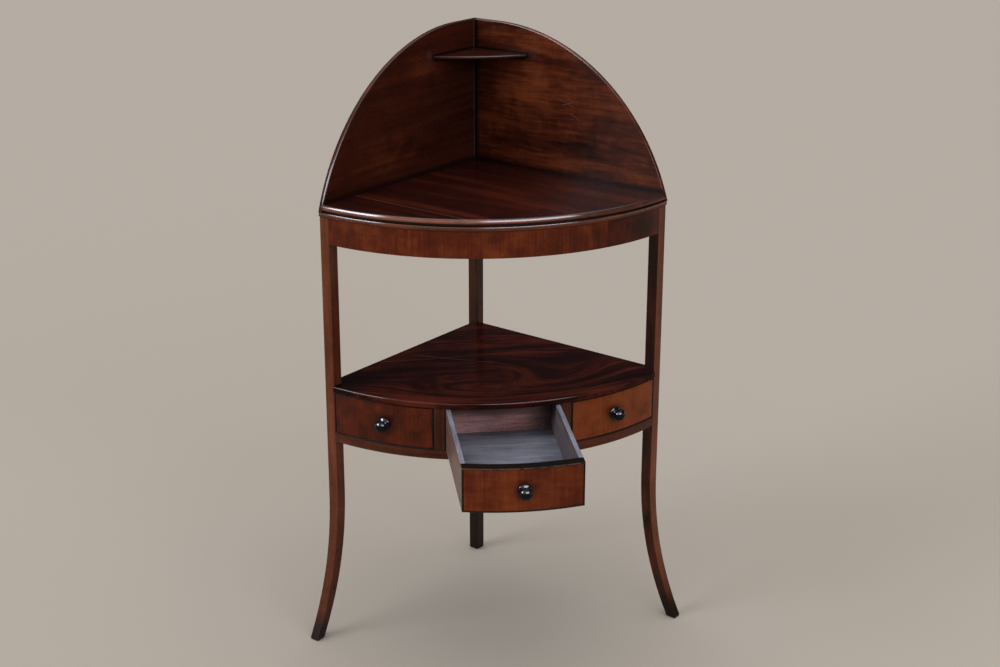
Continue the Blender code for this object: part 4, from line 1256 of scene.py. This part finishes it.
def shelf_gloss(middle):
    """The soap shelf's edge is bright in its middle."""
    return between(abs(middle.x), 0.085, 0.035, 0.0, 0.90)


def mark_gloss(shape, low=0.10, high=0.66, amount_at=full_gloss):
    """Mark the rounded faces that look up and outward, where handling keeps the polish bright."""

    def brightness(face):
        rounded = face[shape.faces.layers.float["edge"]]
        return amount_at(face.calc_center_median()) if rounded and low < face.normal.z < high else 0.0

    return mark_faces(shape, "gloss", brightness)


def keep_beyond(shape, along, keep_far):
    """Cut a board with an upright plane square to the left wall, and close the cut."""
    direction = Vector((-1, -1, 0)) / root_two
    found = bmesh.ops.bisect_plane(
        shape,
        geom=shape.verts[:] + shape.edges[:] + shape.faces[:],
        plane_co=Vector((0, corner_y, 0)) + direction * along,
        plane_no=direction,
        clear_inner=keep_far,
        clear_outer=not keep_far,
    )
    rim = [item for item in found["geom_cut"] if isinstance(item, bmesh.types.BMEdge)]
    bmesh.ops.contextual_create(shape, geom=rim)
    bmesh.ops.recalc_face_normals(shape, faces=shape.faces)
    return shape


def ring_walls(shape, rows):
    """The faces between closed rings of points that follow each other."""
    for row, following in zip(rows, rows[1:]):
        for index in range(len(row)):
            after = (index + 1) % len(row)
            shape.faces.new((row[index], row[after], following[after], following[index]))


def box_shape(corners, low, high):
    """An upright block from its corners in plan."""
    shape = bmesh.new()
    lower, upper = [[shape.verts.new((x, y, z)) for x, y in corners] for z in (low, high)]
    shape.faces.new(lower[::-1])
    shape.faces.new(upper)
    ring_walls(shape, (lower, upper))
    bmesh.ops.recalc_face_normals(shape, faces=shape.faces)
    return shape


def cut_away(shape, tool_shape):
    """Cut a block out of a shape."""
    items = []
    for part in (shape, tool_shape):
        mesh = bpy.data.meshes.new("cutting")
        part.to_mesh(mesh)
        part.free()
        items.append(bpy.data.objects.new("cutting", mesh))
        bpy.context.scene.collection.objects.link(items[-1])
    piece, tool = items
    step = piece.modifiers.new("cut", "BOOLEAN")
    step.operation = "DIFFERENCE"
    step.solver = "EXACT"
    step.object = tool
    depsgraph = bpy.context.evaluated_depsgraph_get()
    cut = bpy.data.meshes.new_from_object(piece.evaluated_get(depsgraph))
    result = bmesh.new()
    result.from_mesh(cut)
    for mesh in (cut, piece.data, tool.data):
        bpy.data.meshes.remove(mesh)
    return result


def wall_corner(side, along, inward):
    """A point in plan given along one wall and inward from it."""
    return (side * (along - inward) / root_two, corner_y - (along + inward) / root_two)


def smooth_profile(points, fineness):
    """Points on a smooth curve through a turned profile."""
    curve = []
    count = len(points)
    for index in range(count - 1):
        before = points[max(index - 1, 0)]
        start = points[index]
        end = points[index + 1]
        after = points[min(index + 2, count - 1)]
        for step in range(fineness):
            share = step / fineness
            curve.append(tuple(
                0.5 * (2 * b + (c - a) * share + (2 * a - 5 * b + 4 * c - d) * share ** 2
                       + (3 * b - a - 3 * c + d) * share ** 3)
                for a, b, c, d in zip(before, start, end, after)
            ))
    curve.append(points[-1])
    return curve


def turned(profile, steps, centre, axis, across):
    """A turned shape from radius and height, about an axis through a centre."""
    shape = bmesh.new()
    shape.faces.layers.float.new("edge")
    up = axis.cross(across)
    rows = []
    for radius, height in profile:
        row = []
        for index in range(steps):
            angle = 2 * math.pi * index / steps
            spoke = across * math.cos(angle) + up * math.sin(angle)
            row.append(shape.verts.new(centre + axis * height + spoke * radius))
        rows.append(row)
    ring_walls(shape, rows)
    shape.faces.new(rows[0])
    shape.faces.new(rows[-1][::-1])
    bmesh.ops.recalc_face_normals(shape, faces=shape.faces)
    return shape


# The pieces


def beads(prefix, body):
    """The four black beads round one front; the drawer's top one is worn brown."""
    easing = {"width": sizes().bead_arris, "shortest": 0.0006, "sharp": 25.0}
    for word in ("top", "bottom", "left", "right"):
        measure = grain_round_bow if word in ("top", "bottom") else grain_up_bow
        rubbed = 0.26 if body == "drawer" and word == "top" else 0.0
        dress(prefix + word, body, "ebonised_wood", bead_finish(), measure, rubbed, **easing)


def knob_angle(side):
    """The angle at which a fixed front is halfway across in X, about the bow's centre."""
    outer = math.pi / 4 - math.asin((post_width + seat_gap - bow_inset) / bow_radius)
    inner = math.asin((opening_half_width + divider_width + seat_gap) / bow_radius)
    return side * math.asin((math.sin(outer) + math.sin(inner)) / 2)


def knob(node, body):
    """A turned knob with a collar and a ball-shaped head."""
    low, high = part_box(node)
    centre = (low + high) / 2
    if body == "drawer":
        axis = Vector((0, -1, 0))
        face = Vector((0, low.y + knob_projection * knob_height_shares[-1] + seat_gap, centre.z))
    else:
        angle = knob_angle(LEFT if centre.x < 0 else RIGHT)
        axis = Vector((math.sin(angle), -math.cos(angle), 0))
        face = Vector(arc_point(bow_radius, angle, centre.z))
    across = Vector((-axis.y, axis.x, 0))
    points = []
    for radius_share, height_share in zip(knob_radius_shares, knob_height_shares):
        points.append((knob_radius * radius_share, seat_gap + knob_projection * height_share))
    dowel = [(knob_dowel_radius, -knob_dowel_length), (knob_dowel_radius, seat_gap)]
    profile = dowel + smooth_profile(points, knob_curve_steps)
    shape = turned(profile, sizes().knob_steps, face, axis, across)
    mark_faces(shape, "gloss", lambda face: knob_brightness if 0.22 < face.normal.z < 0.62 else 0.0)
    add_piece(shape, node, body, knob_finish(), grain_level, smooth_angle=50.0)


class PieceOperator:
    """What all the operators of the washstand share."""

    bl_options = {"REGISTER", "UNDO"}

    def execute(self, context):
        """Make the pieces; an error stops the script."""
        self.make()
        return {"FINISHED"}


class WASHSTAND_OT_legs(PieceOperator, bpy.types.Operator):
    """Dress the two splayed front legs and the straight rear leg"""

    bl_idname = "washstand.legs"
    bl_label = "Legs"

    def make(self):
        """The front legs are darker on the faces that look into the stand: painted shade."""
        easing = {"width": sizes().show_arris, "steps": 3}
        finish = mahogany(frame_wood)
        for (side, word), shade in zip(sides, (-0.09, -0.44)):
            node = f"front_{word}_leg"
            inward = Vector((-side, -1, 0)) / root_two
            shape = ease(copied(node), **easing)
            mark_faces(shape, "shade", lambda face: shade if face.normal.dot(inward) > facing else 0.0)
            add_piece(shape, node, "stand", finish, grain_up_wall(side), 0.10)
        dress("rear_leg", "stand", "mahogany_frame", finish, grain_up_wall(LEFT), -0.22, **easing)


class WASHSTAND_OT_carcass(PieceOperator, bpy.types.Operator):
    """Dress the bare pine rails, runners, guides, stops and glue blocks"""

    bl_idname = "washstand.carcass"
    bl_label = "Carcass"

    def make(self):
        """The pine pieces that the show wood hides, each with its grain."""
        along_walls = (grain_along_wall(LEFT), grain_along_wall(RIGHT))
        pairs = (
            ("rear_rail", along_walls),
            ("case_side", along_walls),
            ("frieze_rail", (grain_round_bow,)),
            ("drawer_runner", (grain_back, grain_back)),
            ("drawer_guide", (grain_back, grain_back)),
            ("drawer_stop", (grain_level, grain_level)),
            ("top_glue_block", (grain_round_bow, grain_round_bow)),
            ("deck_glue_block", along_walls),
        )
        pieces = []
        for stem, measures in pairs:
            names = (stem + "_left", stem + "_right") if len(measures) == 2 else (stem,)
            pieces.extend(zip(names, measures))
        tones = (0.0, -0.12, 0.07, -0.05, 0.10)
        width = sizes().rough_arris
        for number, (node, measure) in enumerate(pieces):
            tone = tones[number % len(tones)]
            dress(node, "stand", "carcass_wood", pine_finish(), measure, tone, width=width)


class WASHSTAND_OT_top(PieceOperator, bpy.types.Operator):
    """Dress the two bull-nosed top boards and the thin board under them"""

    bl_idname = "washstand.top"
    bl_label = "Top"

    def make(self):
        """The top boards, with a fine seam between them, and the bead board."""
        inset = panel_thickness + seat_gap
        edge = moulded_edge(top_overhang, top_base, top_surface, top_nose_arcs, quirk_below)
        finish = mahogany(top_wood)
        for node, keep_far, tone in (("top_board_main", False, 0.0), ("top_board_end", True, -0.06)):
            shape = mark_gloss(bow_board(edge, inset), low=0.20, amount_at=nose_gloss)
            gap = seat_gap / 2 if keep_far else -seat_gap / 2
            keep_beyond(shape, top_seam_along + gap, keep_far)
            add_piece(shape, node, "stand", finish, grain_beside_right_wall, tone)
        edge = moulded_edge(under_top_overhang, under_top_base, under_top_top, under_top_arcs, flat_below)
        shape = mark_gloss(bow_board(edge, 0.0))
        add_piece(shape, "under_top", "stand", mahogany(frame_wood), grain_level, 0.06)


class WASHSTAND_OT_deck(PieceOperator, bpy.types.Operator):
    """Dress the lower shelf"""

    bl_idname = "washstand.deck"
    bl_label = "Deck"

    def make(self):
        """The deck board, notched round the three posts."""
        edge = moulded_edge(deck_overhang, deck_base, deck_top, deck_arcs, round_below)
        shape = mark_gloss(bow_board(edge, 0.0), amount_at=lip_gloss)
        deep = post_width + seat_gap
        front = (wall_length - deep, wall_length + deck_overhang + cut_overrun)
        for side, (start, end) in ((LEFT, front), (RIGHT, front), (RIGHT, (-cut_overrun, deep))):
            plan = ((start, -cut_overrun), (end, -cut_overrun), (end, deep), (start, deep))
            corners = [wall_corner(side, *corner) for corner in plan]
            shape = cut_away(shape, box_shape(corners, deck_base - cut_overrun, deck_top + cut_overrun))
        add_piece(shape, "deck_board", "stand", mahogany(deck_wood), grain_level)


class WASHSTAND_OT_splash(PieceOperator, bpy.types.Operator):
    """Dress the arched splash panels and the soap shelf"""

    bl_idname = "washstand.splash"
    bl_label = "Splash Panels"

    def make(self):
        """The panels with rounded edges, and the quarter shelf between them."""

        def arched_edge(middle):
            along = wall_terms(middle, LEFT if middle.x < 0 else RIGHT)[0]
            high_enough = middle.z > top_base + 0.004
            by_shelf = along < 0.14 and shelf_base - 0.004 < middle.z < shelf_top + 0.004
            in_corner = along < 0.02 and middle.z < stand_height - 0.001
            return high_enough and not by_shelf and not in_corner

        easing = {"width": sizes().panel_arris, "steps": 4, "shortest": 0.004, "choose": arched_edge}
        woods = ((left_splash_wood, left_arch_gloss), (right_splash_wood, right_arch_gloss))
        for (side, word), (wood, amount_at) in zip(sides, woods):
            node = f"splash_panel_{word}"
            shape = mark_gloss(ease(copied(node), **easing), -1.1, 1.1, amount_at)
            measure = grain_along_wall(side)
            add_piece(shape, node, "stand", mahogany(wood), measure, smooth_angle=40.0)
        shape = mark_gloss(ease(copied("soap_shelf"), shelf_arris, steps=5), 0.25, 0.70, shelf_gloss)
        add_piece(shape, "soap_shelf", "stand", mahogany(shelf_wood), grain_level, -0.12)


class WASHSTAND_OT_frieze(PieceOperator, bpy.types.Operator):
    """Dress the three sheets of veneer on the frieze"""

    bl_idname = "washstand.frieze"
    bl_label = "Frieze"

    def make(self):
        """The veneer, each sheet a little different in tone."""
        finish = mahogany(veneer_wood)
        for word, tone in (("left", 0.03), ("middle", -0.03), ("right", -0.28)):
            dress(f"frieze_veneer_{word}", "stand", "mahogany_veneer", finish, grain_up_bow, tone,
                  width=veneer_arris, shortest=0.0005)


class WASHSTAND_OT_case(PieceOperator, bpy.types.Operator):
    """Dress the bowed rail, the dividers and the two fixed fronts"""

    bl_idname = "washstand.case"
    bl_label = "Case Front"

    def make(self):
        """The show wood of the case, with the black beads of the fixed fronts."""
        width = sizes().show_arris
        rails = (("bow_rail", grain_round_bow, -0.12), ("divider_left", grain_up_bow, -0.22),
                 ("divider_right", grain_up_bow, -0.22))
        for node, measure, tone in rails:
            dress(node, "stand", "mahogany_frame", mahogany(frame_wood), measure, tone, width=width)
        finish = mahogany(veneer_wood)
        for word, tone in (("left", -0.14), ("right", 0.31)):
            dress(f"dummy_front_{word}", "stand", "mahogany_veneer", finish, grain_up_bow, tone,
                  width=front_arris)
            beads(f"dummy_{word}_bead_", "stand")


class WASHSTAND_OT_knobs(PieceOperator, bpy.types.Operator):
    """Dress the three turned knobs"""

    bl_idname = "washstand.knobs"
    bl_label = "Knobs"

    def make(self):
        """Each knob is turned anew about the line of its own dowel."""
        knob("dummy_knob_left", "stand")
        knob("dummy_knob_right", "stand")
        knob("drawer_knob", "drawer")


class WASHSTAND_OT_drawer(PieceOperator, bpy.types.Operator):
    """Dress the sliding drawer"""

    bl_idname = "washstand.drawer"
    bl_label = "Drawer"

    def make(self):
        """The drawer's front with its beads, and the dry wood of its box."""
        shape = ease(copied("drawer_front"), front_arris)
        mark_faces(shape, "inside", lambda face: 0.85 if face.normal.y > facing else 0.0)
        finish = mahogany(veneer_wood)
        add_piece(shape, "drawer_front", "drawer", finish, grain_up_bow, 0.11)
        beads("drawer_bead_", "drawer")
        width = sizes().rough_arris
        for side, word in sides:
            node = f"drawer_side_{word}"

            def warmth(face):
                outward = face.normal.x * side
                return 1.0 if outward > facing else (0.55 if outward < -facing else 0.0)

            shape = mark_faces(ease(copied(node), width), "warm", warmth)
            # Painted shade: the inner faces of the drawer's sides are darker
            mark_faces(shape, "shade", lambda face: -0.20 if face.normal.x * side < -facing else 0.0)
            add_piece(shape, node, "drawer", lining_finish(), grain_back)
        dress("drawer_back", "drawer", "drawer_lining", red_lining_finish(), grain_level, width=width)
        dress("drawer_bottom", "drawer", "drawer_lining", lining_finish(), grain_level, width=width)


class WASHSTAND_OT_screws(PieceOperator, bpy.types.Operator):
    """Dress the countersunk screws behind the panels"""

    bl_idname = "washstand.screws"
    bl_label = "Screws"

    def make(self):
        """The screws, each with a slot across its head."""
        for word, side in (("left", LEFT), ("right", RIGHT), ("corner", LEFT)):
            outward = Vector((side, 1, 0)) / root_two
            along = Vector((side, -1, 0)) / root_two
            for number in (1, 2):
                node = f"splash_screw_{word}_{number}"
                low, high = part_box(node)
                middle = (low + high) / 2
                head = middle + outward * wall_terms(middle, side)[1]
                corners = []
                for share, depth in ((-1, 1), (1, 1), (1, -1), (-1, -1)):
                    corner = head + along * share * slot_half_width + outward * depth * slot_depth
                    corners.append((corner.x, corner.y))
                shape = cut_away(copied(node), box_shape(corners, low.z - slot_depth, high.z + slot_depth))
                shape.faces.layers.float.new("edge")
                add_piece(shape, node, "stand", steel_finish(), grain_level)


# Stage


def plain_floor():
    """A floor of one colour."""
    mesh = bpy.data.meshes.new("floor")
    signs = ((-1, -1), (1, -1), (1, 1), (-1, 1))
    mesh.from_pydata([(x * floor_half_size, y * floor_half_size, 0) for x, y in signs], [], [(0, 1, 2, 3)])
    floor = bpy.data.objects.new("floor", mesh)
    bpy.context.scene.collection.objects.link(floor)
    material, wiring, shader = new_finish("plain_floor", 0.85)
    wiring.fill(shader, Base_Color=colour("floor"))
    mesh.materials.append(material)


def window(wiring, value, start, end, blur):
    """1 between start and end, 0 outside, with soft borders."""
    into = wiring.slope(value, start - blur, start + blur)
    return wiring.times(into, wiring.fade(value, end - blur, end + blur))


def soft_lights():
    """A window on each side, a weak warm fill between them, and soft light from overhead."""
    world = bpy.data.worlds.new("soft_room")
    world.use_nodes = True
    bpy.context.scene.world = world
    wiring = Wiring(world.node_tree)
    x, y, height = wiring.split(wiring.node("ShaderNodeTexCoord").outputs["Generated"])
    light = wiring.mix(1.0, colour("sky"), wiring.slope(height, 0.46, 0.97, 0.03, 1.65), "MULTIPLY")
    turn = wiring.math("ARCTAN2", x, wiring.times(y, -1.0))
    blur = math.radians(panel_blur_degrees)
    for start, end, low, high, level, name in soft_panels:
        across = window(wiring, turn, math.radians(start), math.radians(end), blur)
        upright = window(wiring, height, low, high, panel_blur_height)
        panel = wiring.mix(1.0, colour(name), wiring.times(across, upright, level), "MULTIPLY")
        light = wiring.vector_math("ADD", light, panel)
    seen = wiring.node("ShaderNodeLightPath").outputs["Is Camera Ray"]
    background = world.node_tree.nodes["Background"]
    wiring.fill(background, Color=wiring.mix(seen, light, colour("backdrop")), Strength=1.0)


def photograph_camera():
    """The camera as it stood for the photograph."""
    yaw = math.radians(camera_yaw)
    pitch = math.radians(camera_pitch)
    roll = math.radians(camera_roll)
    forward = Vector((math.sin(yaw) * math.cos(pitch), math.cos(yaw) * math.cos(pitch), -math.sin(pitch)))
    level = Vector((math.cos(yaw), -math.sin(yaw), 0))
    upward = level.cross(forward)
    right = level * math.cos(roll) + upward * math.sin(roll)
    above = upward * math.cos(roll) - level * math.sin(roll)
    turn = Matrix((right, above, -forward)).transposed().to_4x4()
    data = bpy.data.cameras.new("photograph_camera")
    data.sensor_fit = "HORIZONTAL"
    data.sensor_width = 36.0
    data.lens = camera_focal_pixels * data.sensor_width / picture_width
    camera = bpy.data.objects.new("photograph_camera", data)
    camera.matrix_world = Matrix.Translation(camera_place) @ turn
    bpy.context.scene.collection.objects.link(camera)
    bpy.context.scene.camera = camera


class WASHSTAND_OT_stage(PieceOperator, bpy.types.Operator):
    """Add the floor, the lights and the camera of the photograph"""

    bl_idname = "washstand.stage"
    bl_label = "Stage"

    def make(self):
        """Everything that isn't the washstand."""
        plain_floor()
        soft_lights()
        photograph_camera()
        bpy.context.scene.view_settings.view_transform = "Standard"


operators = (
    WASHSTAND_OT_legs,
    WASHSTAND_OT_carcass,
    WASHSTAND_OT_top,
    WASHSTAND_OT_deck,
    WASHSTAND_OT_splash,
    WASHSTAND_OT_frieze,
    WASHSTAND_OT_case,
    WASHSTAND_OT_knobs,
    WASHSTAND_OT_drawer,
    WASHSTAND_OT_screws,
    WASHSTAND_OT_stage,
)


class WASHSTAND_PT_pieces(bpy.types.Panel):
    """Lists the pieces, the sizes and the colours"""

    bl_idname = "WASHSTAND_PT_pieces"
    bl_label = "Corner Washstand"
    bl_space_type = "VIEW_3D"
    bl_region_type = "UI"
    bl_category = "Washstand"

    def draw(self, context):
        """Buttons for the operators, then the properties."""
        for operator in operators:
            self.layout.operator(operator.bl_idname)
        for group in (context.scene.washstand_sizes, context.scene.washstand_colours):
            box = self.layout.box()
            for name in group.__annotations__:
                box.prop(group, name)


classes = (WashstandSizes, WashstandColours) + operators + (WASHSTAND_PT_pieces,)


def register():
    """Register the classes and the properties that hold sizes and colours."""
    for item in classes:
        bpy.utils.register_class(item)
    bpy.types.Scene.washstand_sizes = PointerProperty(type=WashstandSizes)
    bpy.types.Scene.washstand_colours = PointerProperty(type=WashstandColours)


def unregister():
    """Take the properties and the classes away again."""
    del bpy.types.Scene.washstand_colours
    del bpy.types.Scene.washstand_sizes
    for item in reversed(classes):
        bpy.utils.unregister_class(item)


def main():
    """Dress the whole stand."""
    register()
    for operator in operators:
        prefix, name = operator.bl_idname.split(".")
        getattr(getattr(bpy.ops, prefix), name)()


if __name__ == "__main__":
    main()
